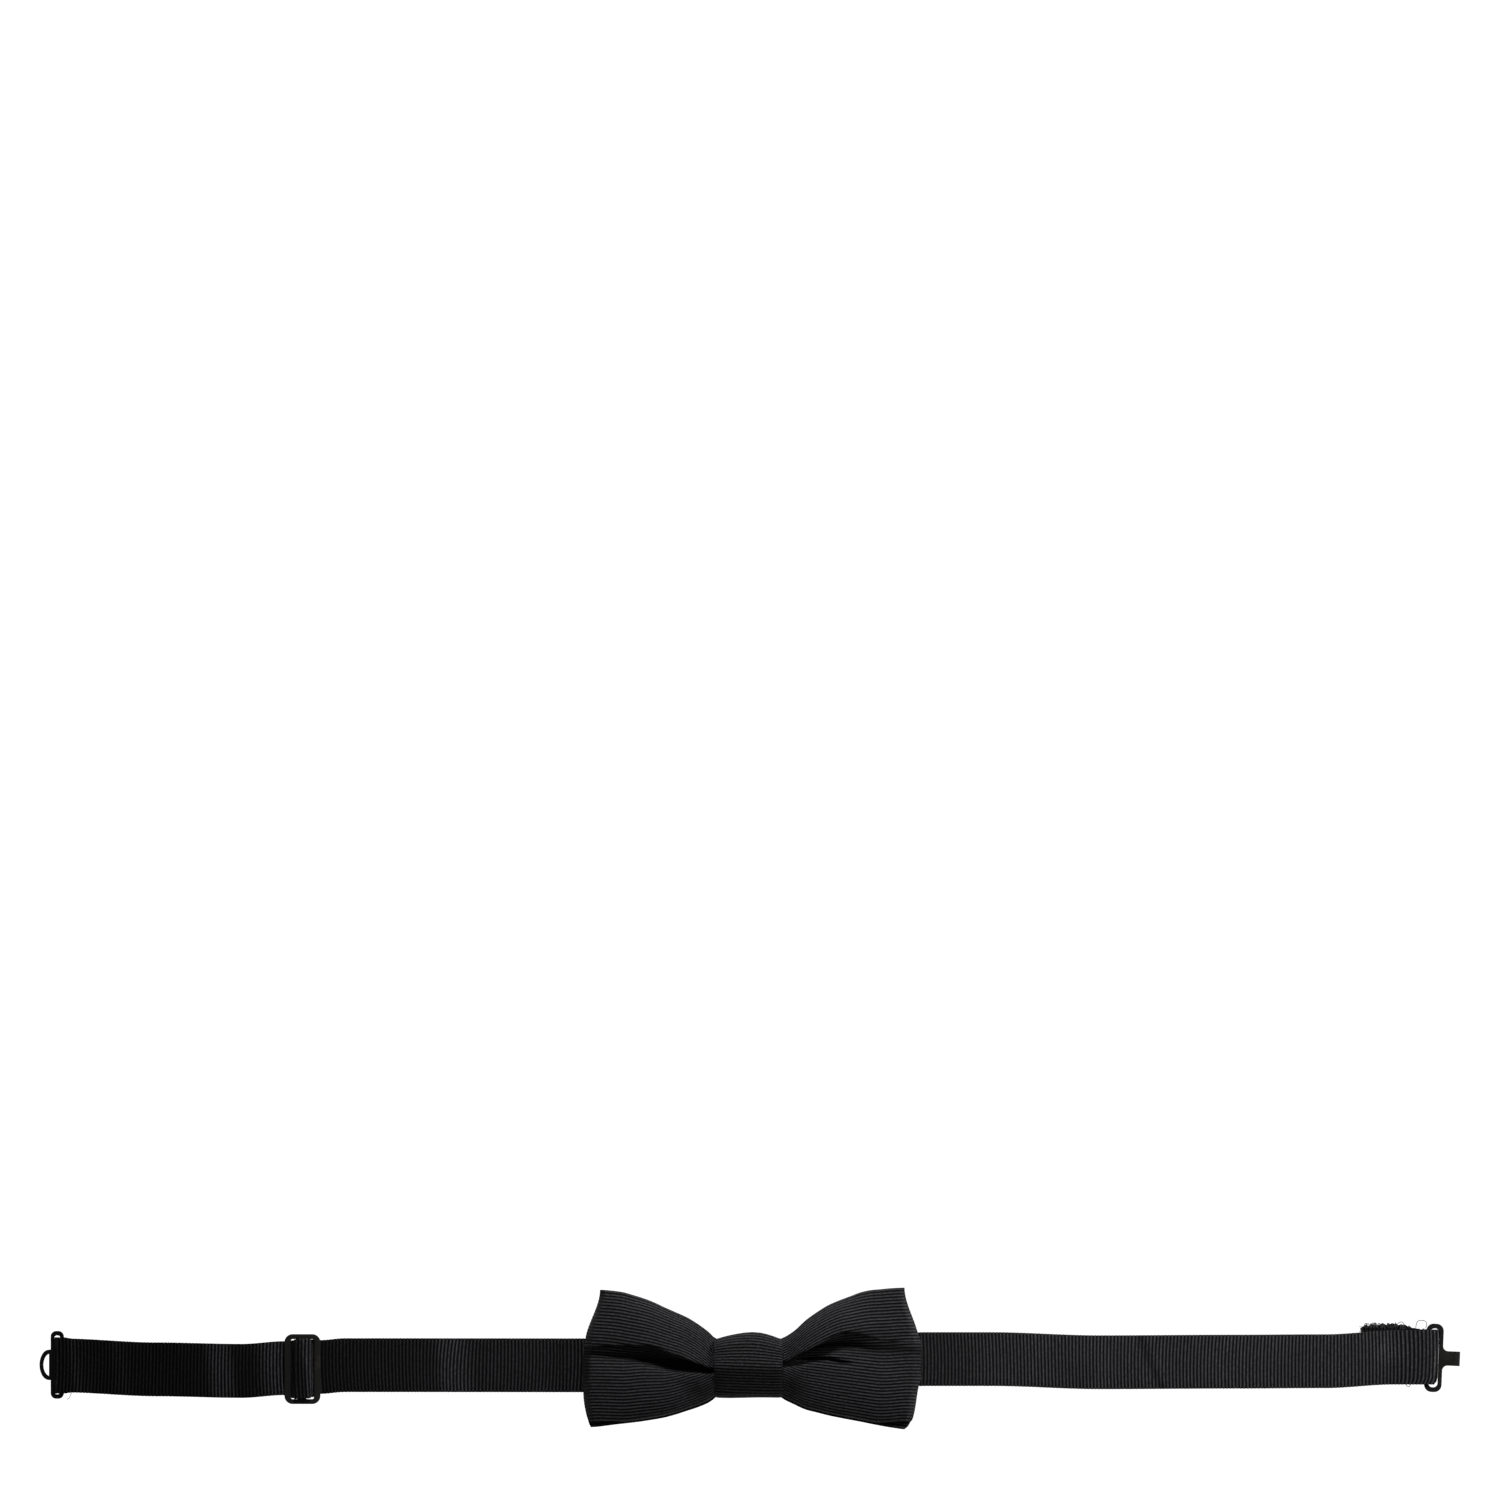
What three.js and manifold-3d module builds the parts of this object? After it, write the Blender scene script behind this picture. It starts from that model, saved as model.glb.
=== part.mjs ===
// A pre-tied grosgrain bow tie on an adjustable neck ribbon, laid out flat.
// X runs along the neck ribbon, Y up the wearer's face and Z out of the knot's front.
// z = 0 is the surface that the tie lies on, and the origin is the middle of the knot's back.
// All sizes are in millimetres.

import * as THREE from "three";
import { mergeVertices } from "three/addons/utils/BufferGeometryUtils.js";
import Module from "manifold-3d";

const wasm = await Module();
wasm.setup();

// ---------------------------------------------------------------- driving dimensions

const gap = 0.3; // clearance between pieces that touch
const swingGap = 0.1; // extra room round a bar that a clasp swings on

// Neck ribbon
const ribbonWidth = 18;
const ribbonThickness = 0.6;
const foldGap = 0.6; // open joint in the ribbon where it folds back beside the bow
const foldSetback = 0.15; // the part of it on the band's side
const leftFoldOut = 3.4; // how far beyond the wing's tip the ribbon folds back
const rightFoldOut = 3.1;
const rightFoldRise = 0.6; // height of the right fold above the table layer
const rightLandingRun = 20; // length over which the ribbon comes down from it
const ribbonBend = 1; // how far from a corner the ribbon starts to turn
const foldBend = 0.8;
const loopBend = 0.9;
const knotBend = 6;
const knotRunOut = 12; // ribbon beyond the knot that is level with its inside
const ribbonStep = 6; // longest straight step along a ribbon

// Bow: one entry per wing, measured from the middle of the knot
const leftWing = { tip: 54.6, top: 25, bottom: -19.8 };
const rightWing = { tip: 56.9, top: 25.9, bottom: -20.6 };
const wingFlare = 1.65; // how fast a wing opens out beside the knot
const tipRake = 5.2; // how far the wing's corners stand back from its tip
const waistTuck = 0.4; // how much lower the pleated waist is than the ribbon, at each edge
const wingSpring = 2; // how far a wing springs open, at each edge, where it leaves the knot
const springRun = 3; // length over which it does so
const frontWaistDepth = 3.5;
const frontWingDepth = 6.4;
const frontCrown = 0.35; // how much thinner the front is at its edges, as a share
const frontTipThinning = 0.25;
const fillRate = 3; // a wing has its whole depth by 1 / fillRate of the way to its tip
const backWaistDepth = 2.2;
const backWingDepth = 2.6;
const backDrop = 0.8; // how far the back wings show below the front ones
const backInset = 0.6;
const wingDroop = 0.9; // how far the wings sink towards their tips
const interliningThickness = 0.4;
const interliningInset = 2;

// Knot
const knotWidth = 22.8;
const knotFabric = 0.8;
const knotCorner = 2.6;
const knotFootCorner = 1;
const lapY = 4; // edge of the outer end of the wrap, lapped over the inner end
const lapStep = 0.8;
const bindingThickness = 0.5;
const bindingWidth = 9;
const bindingCorner = 1.5;
const bindingHeadroom = 0.39; // room over the bow inside its binding
const bindingSideroom = 0.54;
const knotPadThickness = 0.4;
const knotPadWidth = 20;
const knotPadHeight = 12;

// Slider: a flat frame with a centre bar
const sliderX = -147.2;
const sliderY = -1.2;
const sliderThickness = 1;
const sliderSideBar = 2.15;
const sliderCentreBar = 2.2;
const sliderEndBar = 1.65;
const sliderCorner = 2.7;
const sliderOpeningCorner = 0.6;
const sliderSoftness = 0.3;
const sliderWindowSlack = 1.8; // window length beyond the ribbon's width
const sliderPassageSlack = 0.6; // passage width beyond the two layers in it
const archEndMargin = 0.6; // how far the arched ribbon reaches past the frame

// Eye clasp: a slotted plate with a flattened ring
const eyeBarX = -226.5;
const eyeY = 0.2;
const eyeBar = 1.2;
const eyeSlot = 2;
const eyeEndBar = 1.5;
const eyeThickness = 0.9;
const ringWire = 1.35;
const ringSoftness = 0.35;
const ringLap = 0.4; // how deep the ring starts inside the plate
const ringRoundness = 0.62; // depth of the ring's curve as a share of its half height
const ringHalf = 5.05;
const ringReach = 3.7; // how far the ring stands out from the plate
const eyeFoldRun = 13; // length over which the doubled ribbon opens to pass the bar

// Hook clasp: a slotted plate with a tab bent back on itself
const hookBarX = 224;
const hookY = 2.6;
const hookTiltDeg = 2.4;
const hookBar = 1.4;
const hookSlot = 3;
const hookEndBar = 1.6;
const hookThickness = 0.9;
const hookMouth = 1.5; // room inside the hook for the ring
const tabWidth = 4.8;
const tabReach = 5.7;
const tabFillet = 1.7;
const tabLap = 0.6; // how deep the tab starts inside the plate
const tabOverlap = 1; // flat part shared with the bent one
const tabBend = 1.2;
const tabSoftness = 0.15;
const lipReach = 3.4;
const claspSlack = 1.4; // slot length beyond the ribbon's width
const claspRound = 0.42; // corner radius of a clasp's plate, as a share of its width
const slotRound = 0.45; // the same for its slot
const foldShoulder = 2.6; // how far before a clasp's bar its ribbon is at full height
const hookFoldRun = 12;
const hookLandingRun = 2; // how much further the lower layer runs before it lies flat
const turnBack = 21.7; // turned-back ribbon end, from the bar
const stepLead = 12; // where the ribbon starts to step up over that end, before it
const stepRun = 10;

// Thread
const threadRadius = 0.2;
const stitchSwing = 0.45;
const stitchPitch = 2.4;
const stitchMargin = 1.5; // bare ribbon at each end of a stitch row
const threadClear = 0.05; // room under a thread

// ---------------------------------------------------------------- derived sizes

const ribbonHalf = ribbonWidth / 2;
const layerPitch = ribbonThickness + gap;
const layerZ = (level) => ribbonThickness / 2 + level * layerPitch;

const waistHalf = ribbonHalf - waistTuck;
const flareHalf = waistHalf + wingSpring;
const knotFloor = lapStep + ribbonThickness; // inside face of the knot's back
const ribbonInKnotZ = knotFloor + gap + ribbonThickness / 2;
const bindingBottom = ribbonInKnotZ + ribbonThickness / 2 + gap;
const bowBottom = bindingBottom + bindingThickness + gap;
const bowMiddle = bowBottom + backWaistDepth + gap + interliningThickness / 2;
const bowTop = bowMiddle + interliningThickness / 2 + gap + frontWaistDepth;
const bindingTop = bowTop + bindingHeadroom + bindingThickness;
const knotPadBottom = bindingTop + gap;
const knotRoof = knotPadBottom + knotPadThickness + gap;
const knotTop = knotRoof + knotFabric;
const bindingHalf = waistHalf + bindingSideroom + bindingThickness;
const knotInnerHalf = Math.max(bindingHalf + gap, ribbonHalf + 3 * gap);
const knotHalf = knotInnerHalf + knotFabric;

const leftFoldX = -(leftWing.tip + leftFoldOut);
const rightFoldX = rightWing.tip + rightFoldOut;
const leftFoldZ = layerZ(1);
const rightFoldZ = layerZ(0) + rightFoldRise;

const sliderPassage = 2 * ribbonThickness + 3 * gap + sliderPassageSlack;
const sliderWidth = 2 * sliderSideBar + sliderCentreBar + 2 * sliderPassage;
const sliderWindow = ribbonWidth + sliderWindowSlack;
const sliderHeight = sliderWindow + 2 * sliderEndBar;
const sliderBottom = layerZ(1) + ribbonThickness / 2 + gap;
const sliderTop = sliderBottom + sliderThickness;
const loopHalf = sliderCentreBar / 2 + gap + ribbonThickness / 2;
const loopTopZ = sliderTop + gap + ribbonThickness / 2;
const archHalf = loopHalf + layerPitch;
const archTopZ = loopTopZ + layerPitch;
const archEnd = sliderWidth / 2 + archEndMargin;

const eyeSwing = Math.hypot(eyeBar, eyeThickness) / 2 + swingGap + ribbonThickness / 2;
const eyeZ = layerZ(0) + eyeSwing;
const eyeFoldStart = eyeBarX + eyeFoldRun;

const hookZ = 1.5 * hookThickness + hookMouth;
const hookTilt = THREE.MathUtils.degToRad(hookTiltDeg);
const hookSwing = Math.hypot(hookBar, hookThickness) / 2 + swingGap + ribbonThickness / 2;
const hookFoldX = hookBarX + hookSwing + Math.sin(hookTilt) * (ribbonHalf + 1);
const hookFoldStart = hookBarX - hookFoldRun;
const tailEnd = hookBarX - turnBack;
const stepStart = tailEnd - stepLead;
const rightLandingX = rightFoldX + rightLandingRun;

// Middle of the ribbon across its width, at places along it: it doesn't lie quite straight
const ribbonLie = [
  [eyeBarX, 0],
  [sliderX - 48, -1.3],
  [sliderX - 20, -1.8],
  [sliderX - 6, -0.9],
  [sliderX + 6, -0.5],
  [sliderX + 14, 0.1],
  [5, 0],
  [rightFoldX, 2.1],
  [rightLandingX, 2.1],
  [rightFoldX + 56, 1.05],
  [rightFoldX + 100, 1.25],
  [stepStart, 1.4],
  [tailEnd + 11, hookY],
  [hookBarX, hookY],
];

function ribbonY(x) {
  const last = ribbonLie.length - 1;
  if (x <= ribbonLie[0][0]) return ribbonLie[0][1];
  if (x >= ribbonLie[last][0]) return ribbonLie[last][1];
  const i = ribbonLie.findIndex(([place]) => place > x) - 1;
  const [x0, y0] = ribbonLie[i];
  const [x1, y1] = ribbonLie[i + 1];
  return THREE.MathUtils.lerp(y0, y1, THREE.MathUtils.smoothstep(x, x0, x1));
}

// ---------------------------------------------------------------- materials

const finish = (color, roughness, metalness) =>
  new THREE.MeshStandardMaterial({ color, roughness, metalness });

const grosgrain = () => finish(0x17171b, 0.75, 0);
const canvas = () => finish(0x2b2a2c, 0.95, 0);
const thread = () => finish(0x141416, 0.7, 0);
const blackMetal = () => finish(0x1b1a19, 0.4, 0.6);

// ---------------------------------------------------------------- shared shapes

const axisX = new THREE.Vector3(1, 0, 0);
const axisY = new THREE.Vector3(0, 1, 0);
const axisZ = new THREE.Vector3(0, 0, 1);

// A line through corner points, each corner rounded, with no straight step over ribbonStep
function roundedLine(corners, radius) {
  const points = corners.map(([u, v]) => new THREE.Vector2(u, v));
  const line = [points[0]];
  const runTo = (target) => {
    const from = line.at(-1);
    const steps = Math.max(1, Math.ceil(from.distanceTo(target) / ribbonStep));
    for (let i = 1; i <= steps; i++) line.push(from.clone().lerp(target, i / steps));
  };
  for (let i = 1; i < points.length - 1; i++) {
    const corner = points[i];
    const towards = (other) => corner.clone().lerp(other, Math.min(0.45, radius / corner.distanceTo(other)));
    const entry = towards(points[i - 1]);
    const exit = towards(points[i + 1]);
    runTo(entry);
    line.push(...new THREE.QuadraticBezierCurve(entry, corner, exit).getPoints(4).slice(1));
  }
  runTo(points.at(-1));
  return line;
}

// A strip that follows an (x, z) line and is `width` wide across Y, from a block cut into steps
function strip(corners, width, thickness, radius) {
  const line = roundedLine(corners, radius);
  const last = line.length - 1;
  const across = line.map((point, i) => {
    const before = point.clone().sub(line[Math.max(i - 1, 0)]).normalize();
    const after = line[Math.min(i + 1, last)].clone().sub(point).normalize();
    const along = before.add(after).normalize();
    return new THREE.Vector2(-along.y, along.x);
  });
  const geometry = new THREE.BoxGeometry(last, width, thickness, last, 1, 1);
  const place = geometry.attributes.position;
  for (let k = 0; k < place.count; k++) {
    const i = Math.round(place.getX(k) + last / 2);
    const point = line[i].clone().addScaledVector(across[i], place.getZ(k));
    place.setX(k, point.x);
    place.setZ(k, point.y);
  }
  geometry.computeVertexNormals();
  return geometry;
}

// The neck ribbon along an (x, z) line, swaying across the table as the ribbon lies
function ribbon(corners, radius = ribbonBend) {
  const geometry = strip(corners, ribbonWidth, ribbonThickness, radius);
  const place = geometry.attributes.position;
  for (let i = 0; i < place.count; i++) place.setY(i, place.getY(i) + ribbonY(place.getX(i)));
  return geometry;
}

function roundedRect(width, height, radius) {
  const shape = new THREE.Shape();
  const w = width / 2;
  const h = height / 2;
  shape.moveTo(-w + radius, -h);
  shape.lineTo(w - radius, -h);
  shape.absarc(w - radius, -h + radius, radius, -Math.PI / 2, 0);
  shape.lineTo(w, h - radius);
  shape.absarc(w - radius, h - radius, radius, 0, Math.PI / 2);
  shape.lineTo(-w + radius, h);
  shape.absarc(-w + radius, h - radius, radius, Math.PI / 2, Math.PI);
  shape.lineTo(-w, -h + radius);
  shape.absarc(-w + radius, -h + radius, radius, Math.PI, 1.5 * Math.PI);
  return shape;
}

const moved = (shape, u, v) =>
  new THREE.Shape(shape.getPoints(4).map((p) => new THREE.Vector2(p.x + u, p.y + v)));

// A flat plate of the given outline, from z = bottom up, with softened edges
function plate(shape, bottom, thickness, softness = 0.2) {
  const geometry = new THREE.ExtrudeGeometry(shape, {
    depth: thickness - 2 * softness,
    bevelThickness: softness,
    bevelSize: softness,
    bevelOffset: -softness,
    bevelSegments: 1,
  });
  return geometry.translate(0, 0, bottom + softness);
}

// A ring round the X axis, given by its outline and its hole in the (y, z) plane
function ringAcross(outline, width) {
  const geometry = new THREE.ExtrudeGeometry(outline, {
    depth: width,
    bevelEnabled: false,
    curveSegments: 5,
  });
  geometry.applyMatrix4(new THREE.Matrix4().makeBasis(axisY, axisZ, axisX));
  return geometry.translate(-width / 2, 0, 0);
}

function solid(geometry) {
  const bare = geometry.clone();
  bare.deleteAttribute("normal");
  bare.deleteAttribute("uv");
  const merged = mergeVertices(bare, 1e-4);
  return new wasm.Manifold(
    new wasm.Mesh({
      numProp: 3,
      vertProperties: new Float32Array(merged.attributes.position.array),
      triVerts: new Uint32Array(merged.index.array),
    }),
  );
}

function joined(...geometries) {
  const mesh = geometries.map(solid).reduce((whole, piece) => whole.add(piece)).getMesh();
  const geometry = new THREE.BufferGeometry();
  geometry.setAttribute("position", new THREE.BufferAttribute(mesh.vertProperties, 3));
  geometry.setIndex(new THREE.BufferAttribute(mesh.triVerts, 1));
  return geometry;
}

// A row of zigzag stitches in one length of thread; `at` turns (along, aside) into a point
function stitchRow(from, to, at) {
  const turns = Math.max(2, Math.round((to - from) / (stitchPitch / 2)));
  const points = Array.from({ length: turns + 1 }, (_, i) =>
    at(THREE.MathUtils.lerp(from, to, i / turns), (i % 2 ? 1 : -1) * stitchSwing),
  );
  const section = new THREE.Shape().absarc(0, 0, threadRadius, 0, 2 * Math.PI);
  return new THREE.ExtrudeGeometry(section, {
    extrudePath: new THREE.CatmullRomCurve3(points),
    steps: 3 * turns,
    curveSegments: 3,
  });
}

// ---------------------------------------------------------------- bow

const wingAt = (x) => (x < 0 ? leftWing : rightWing);

// 0 beside the knot, 1 at the tip
const alongWing = (x) => {
  const reach = wingAt(x).tip - knotWidth / 2;
  return THREE.MathUtils.clamp((Math.abs(x) - knotWidth / 2) / reach, 0, 1);
};

function wingEdge(x, corner) {
  const u = alongWing(x);
  const root = Math.sign(corner) * flareHalf;
  const opened = THREE.MathUtils.lerp(root, corner, 1 - (1 - u) ** wingFlare);
  const sprung = THREE.MathUtils.smoothstep(Math.abs(x), knotWidth / 2, knotWidth / 2 + springRun);
  return THREE.MathUtils.lerp(Math.sign(corner) * waistHalf, opened, sprung);
}

const middleZ = (x) => bowMiddle - wingDroop * alongWing(x) ** 2;

// Distance from the middle for a share of the way to the tip, with a column at the knot's edge
const waistColumns = 3;
const wingColumns = 11;
const wingRows = 6;

function columnX(share, tip) {
  const waistShare = waistColumns / (waistColumns + wingColumns);
  const beyond = Math.max(0, share - waistShare) / (1 - waistShare);
  return share <= waistShare
    ? (share / waistShare) * (knotWidth / 2)
    : THREE.MathUtils.lerp(knotWidth / 2, tip, beyond);
}

// One layer of the bow, from a subdivided block: `low` and `high` give z at (x, height 0 to 1)
function bowLayer({ inset = 0, drop = 0, low, high }) {
  const geometry = new THREE.BoxGeometry(2, 2, 2, 2 * (waistColumns + wingColumns), wingRows, 1);
  const place = geometry.attributes.position;
  for (let i = 0; i < place.count; i++) {
    const [a, b, c] = [place.getX(i), place.getY(i), place.getZ(i)];
    const wing = wingAt(a);
    const rake = tipRake * Math.abs(b) ** 3;
    const x = Math.sign(a) * columnX(Math.abs(a), wing.tip - inset - rake);
    const top = wingEdge(x, wing.top - drop) - inset * alongWing(x);
    const bottom = wingEdge(x, wing.bottom - drop) + inset * alongWing(x);
    const height = (b + 1) / 2;
    const z = c < 0 ? low(x, height) : high(x, height);
    place.setXYZ(i, x, THREE.MathUtils.lerp(bottom, top, height), z);
  }
  geometry.computeVertexNormals();
  return geometry;
}

const layerFace = interliningThickness / 2 + gap;
const filled = (x) => Math.min(1, fillRate * alongWing(x));

function bowFront() {
  const depth = (x, height) => {
    const crown = 1 - frontCrown * (2 * height - 1) ** 2;
    const opened = frontWingDepth * crown * (1 - frontTipThinning * alongWing(x) ** 3);
    return THREE.MathUtils.lerp(frontWaistDepth, opened, filled(x));
  };
  return bowLayer({
    low: (x) => middleZ(x) + layerFace,
    high: (x, height) => middleZ(x) + layerFace + depth(x, height),
  });
}

function bowBack() {
  const depth = (x) => THREE.MathUtils.lerp(backWaistDepth, backWingDepth, filled(x));
  return bowLayer({
    inset: backInset,
    drop: backDrop,
    low: (x) => middleZ(x) - layerFace - depth(x),
    high: (x) => middleZ(x) - layerFace,
  });
}

function bowInterlining() {
  return bowLayer({
    inset: interliningInset,
    low: (x) => middleZ(x) - interliningThickness / 2,
    high: (x) => middleZ(x) + interliningThickness / 2,
  });
}

// ---------------------------------------------------------------- knot

function ringSection(half, bottom, top, thickness, corner) {
  const middle = (bottom + top) / 2;
  const outline = moved(roundedRect(2 * half, top - bottom, corner), 0, middle);
  const inner = roundedRect(
    2 * (half - thickness),
    top - bottom - 2 * thickness,
    Math.max(0.2, corner - thickness),
  );
  outline.holes.push(moved(inner, 0, middle));
  return outline;
}

function waistBinding() {
  const section = ringSection(bindingHalf, bindingBottom, bindingTop, bindingThickness, bindingCorner);
  return ringAcross(section, bindingWidth);
}

// The wrap's back is double below the lap's edge and single above it
function knotWrap() {
  const outline = new THREE.Shape();
  outline.moveTo(-knotHalf + knotFootCorner, 0);
  outline.lineTo(lapY, 0);
  outline.lineTo(lapY, lapStep);
  outline.lineTo(knotHalf - knotFootCorner, lapStep);
  outline.absarc(knotHalf - knotFootCorner, lapStep + knotFootCorner, knotFootCorner, -Math.PI / 2, 0);
  outline.lineTo(knotHalf, knotTop - knotCorner);
  outline.absarc(knotHalf - knotCorner, knotTop - knotCorner, knotCorner, 0, Math.PI / 2);
  outline.lineTo(-knotHalf + knotCorner, knotTop);
  outline.absarc(-knotHalf + knotCorner, knotTop - knotCorner, knotCorner, Math.PI / 2, Math.PI);
  outline.lineTo(-knotHalf, knotFootCorner);
  outline.absarc(-knotHalf + knotFootCorner, knotFootCorner, knotFootCorner, Math.PI, 1.5 * Math.PI);
  const round = knotCorner - knotFabric;
  const foot = knotFootCorner - knotFabric / 2;
  const hole = new THREE.Path();
  hole.moveTo(-knotInnerHalf + foot, knotFloor);
  hole.lineTo(knotInnerHalf - foot, knotFloor);
  hole.absarc(knotInnerHalf - foot, knotFloor + foot, foot, -Math.PI / 2, 0);
  hole.lineTo(knotInnerHalf, knotRoof - round);
  hole.absarc(knotInnerHalf - round, knotRoof - round, round, 0, Math.PI / 2);
  hole.lineTo(-knotInnerHalf + round, knotRoof);
  hole.absarc(-knotInnerHalf + round, knotRoof - round, round, Math.PI / 2, Math.PI);
  hole.lineTo(-knotInnerHalf, knotFloor + foot);
  hole.absarc(-knotInnerHalf + foot, knotFloor + foot, foot, Math.PI, 1.5 * Math.PI);
  outline.holes.push(hole);
  return ringAcross(outline, knotWidth);
}

function knotPad() {
  const geometry = new THREE.BoxGeometry(knotPadWidth, knotPadHeight, knotPadThickness);
  return geometry.translate(0, 0, knotPadBottom + knotPadThickness / 2);
}

function knotStitches() {
  const y = lapY + gap + threadRadius + stitchSwing;
  const z = threadRadius + threadClear;
  const half = knotWidth / 2 - stitchMargin;
  return stitchRow(-half, half, (along, aside) => new THREE.Vector3(along, y + aside, z));
}

// ---------------------------------------------------------------- neck ribbon

function ribbonCentre() {
  return ribbon(
    [
      [leftFoldX + foldGap - foldSetback, leftFoldZ],
      [-knotWidth / 2 - knotRunOut, ribbonInKnotZ],
      [knotWidth / 2 + knotRunOut, ribbonInKnotZ],
      [rightFoldX - foldGap + foldSetback, rightFoldZ],
    ],
    knotBend,
  );
}

function ribbonLeft() {
  return ribbon([
    [leftFoldX - foldSetback, leftFoldZ],
    [sliderX + archEnd + gap, layerZ(1)],
  ]);
}

// Under one side bar, over the wrapped centre bar and under the other side bar
function ribbonArch() {
  return ribbon([
    [sliderX + archEnd, layerZ(1)],
    [sliderX + archHalf, layerZ(1)],
    [sliderX + archHalf, archTopZ],
    [sliderX - archHalf, archTopZ],
    [sliderX - archHalf, layerZ(1)],
    [sliderX - archEnd, layerZ(1)],
  ]);
}

// The ribbon's end, turned round the centre bar and sewn down under it
function ribbonEndLoop() {
  return ribbon(
    [
      [sliderX - archEnd, layerZ(0)],
      [sliderX + loopHalf, layerZ(0)],
      [sliderX + loopHalf, loopTopZ],
      [sliderX - loopHalf, loopTopZ],
      [sliderX - loopHalf, layerZ(1) - gap / 2],
    ],
    loopBend,
  );
}

function ribbonLeftFront() {
  return ribbon([
    [sliderX - archEnd - gap, layerZ(1)],
    [eyeFoldStart + gap, layerZ(1)],
  ]);
}

function ribbonReturn() {
  return ribbon([
    [sliderX - archEnd - gap, layerZ(0)],
    [eyeFoldStart + gap, layerZ(0)],
  ]);
}

// Through the eye clasp's slot and back beneath
function ribbonEyeFold() {
  return ribbon(
    [
      [eyeFoldStart, layerZ(1)],
      [eyeBarX + foldShoulder, eyeZ + eyeSwing],
      [eyeBarX - eyeSwing, eyeZ + eyeSwing],
      [eyeBarX - eyeSwing, layerZ(0)],
      [eyeFoldStart, layerZ(0)],
    ],
    foldBend,
  );
}

// From beside the bow down to the table
function ribbonRightFold() {
  return ribbon([
    [rightFoldX + foldSetback, rightFoldZ],
    [rightLandingX - gap, layerZ(0)],
  ]);
}

function ribbonRight() {
  return ribbon([
    [rightLandingX, layerZ(0)],
    [stepStart - gap, layerZ(0)],
  ]);
}

// Up over the turned-back end, to where the ribbon opens to pass the hook clasp's bar
function ribbonRightStep() {
  return ribbon([
    [stepStart, layerZ(0)],
    [stepStart + stepRun, layerZ(1)],
    [hookFoldStart - gap, layerZ(1)],
  ]);
}

// Through the hook clasp's slot and turned back beneath
function ribbonHookFold() {
  return ribbon(
    [
      [hookFoldStart, layerZ(1)],
      [hookBarX - foldShoulder, hookZ + hookSwing],
      [hookFoldX, hookZ + hookSwing],
      [hookFoldX, hookZ - hookSwing],
      [hookBarX - foldShoulder, hookZ - hookSwing],
      [hookFoldStart + hookLandingRun, layerZ(0)],
      [tailEnd, layerZ(0)],
    ],
    foldBend,
  );
}

function sliderStitches() {
  const half = ribbonHalf - stitchMargin;
  const z = ribbonThickness + gap + threadRadius + threadClear;
  return stitchRow(-half, half, (along, aside) =>
    new THREE.Vector3(sliderX + aside, along + ribbonY(sliderX), z),
  );
}

function hookStitches() {
  const half = ribbonHalf - stitchMargin;
  const x = tailEnd - gap - threadRadius - stitchSwing;
  return stitchRow(-half, half, (along, aside) =>
    new THREE.Vector3(x + aside, along + ribbonY(x), threadRadius + threadClear),
  );
}

// ---------------------------------------------------------------- metal fittings

function slider() {
  const frame = roundedRect(sliderWidth, sliderHeight, sliderCorner);
  const offset = (sliderCentreBar + sliderPassage) / 2;
  const opening = roundedRect(sliderPassage, sliderWindow, sliderOpeningCorner);
  frame.holes.push(moved(opening, -offset, 0), moved(opening, offset, 0));
  return plate(frame, sliderBottom, sliderThickness, sliderSoftness).translate(sliderX, sliderY, 0);
}

// A slotted plate whose ribbon bar lies at x = 0 and whose slot opens towards +x
function claspOutline(bar, slot, endBar) {
  const width = 2 * bar + slot;
  const window = ribbonWidth + claspSlack;
  const middle = (bar + slot) / 2;
  const outline = moved(roundedRect(width, window + 2 * endBar, width * claspRound), middle, 0);
  outline.holes.push(moved(roundedRect(slot, window, slot * slotRound), middle, 0));
  return outline;
}

function halfRing(radius, reach, start) {
  const points = [new THREE.Vector2(start, radius), new THREE.Vector2(start, -radius)];
  const depth = radius * ringRoundness;
  const bend = new THREE.EllipseCurve(start + reach - depth, 0, depth, radius, -Math.PI / 2, Math.PI / 2);
  return new THREE.Shape([...points, ...bend.getPoints(12)]);
}

function eyeClasp() {
  const body = plate(claspOutline(eyeBar, eyeSlot, eyeEndBar), eyeZ - eyeThickness / 2, eyeThickness);
  const start = eyeBar / 2 + eyeSlot + ringLap;
  const reach = ringReach + eyeBar - ringLap;
  const outer = halfRing(ringHalf, reach, start);
  outer.holes.push(halfRing(ringHalf - ringWire, reach - 2 * ringWire, start + ringWire));
  const ring = plate(outer, 0, ringWire, ringSoftness);
  return joined(body, ring).rotateZ(Math.PI).translate(eyeBarX, eyeY, 0);
}

function hookTab() {
  const start = hookBar / 2 + hookSlot + tabLap;
  const edge = 1.5 * hookBar + hookSlot;
  const half = tabWidth / 2;
  const tab = new THREE.Shape();
  tab.moveTo(start, -half - tabFillet);
  tab.lineTo(edge, -half - tabFillet);
  tab.absarc(edge + tabFillet, -half - tabFillet, tabFillet, Math.PI, Math.PI / 2, true);
  tab.lineTo(edge + tabFillet + tabOverlap, -half);
  tab.lineTo(edge + tabFillet + tabOverlap, half);
  tab.lineTo(edge + tabFillet, half);
  tab.absarc(edge + tabFillet, half + tabFillet, tabFillet, 1.5 * Math.PI, Math.PI, true);
  tab.lineTo(start, half + tabFillet);
  return plate(tab, hookZ - hookThickness / 2, hookThickness, tabSoftness);
}

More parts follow.
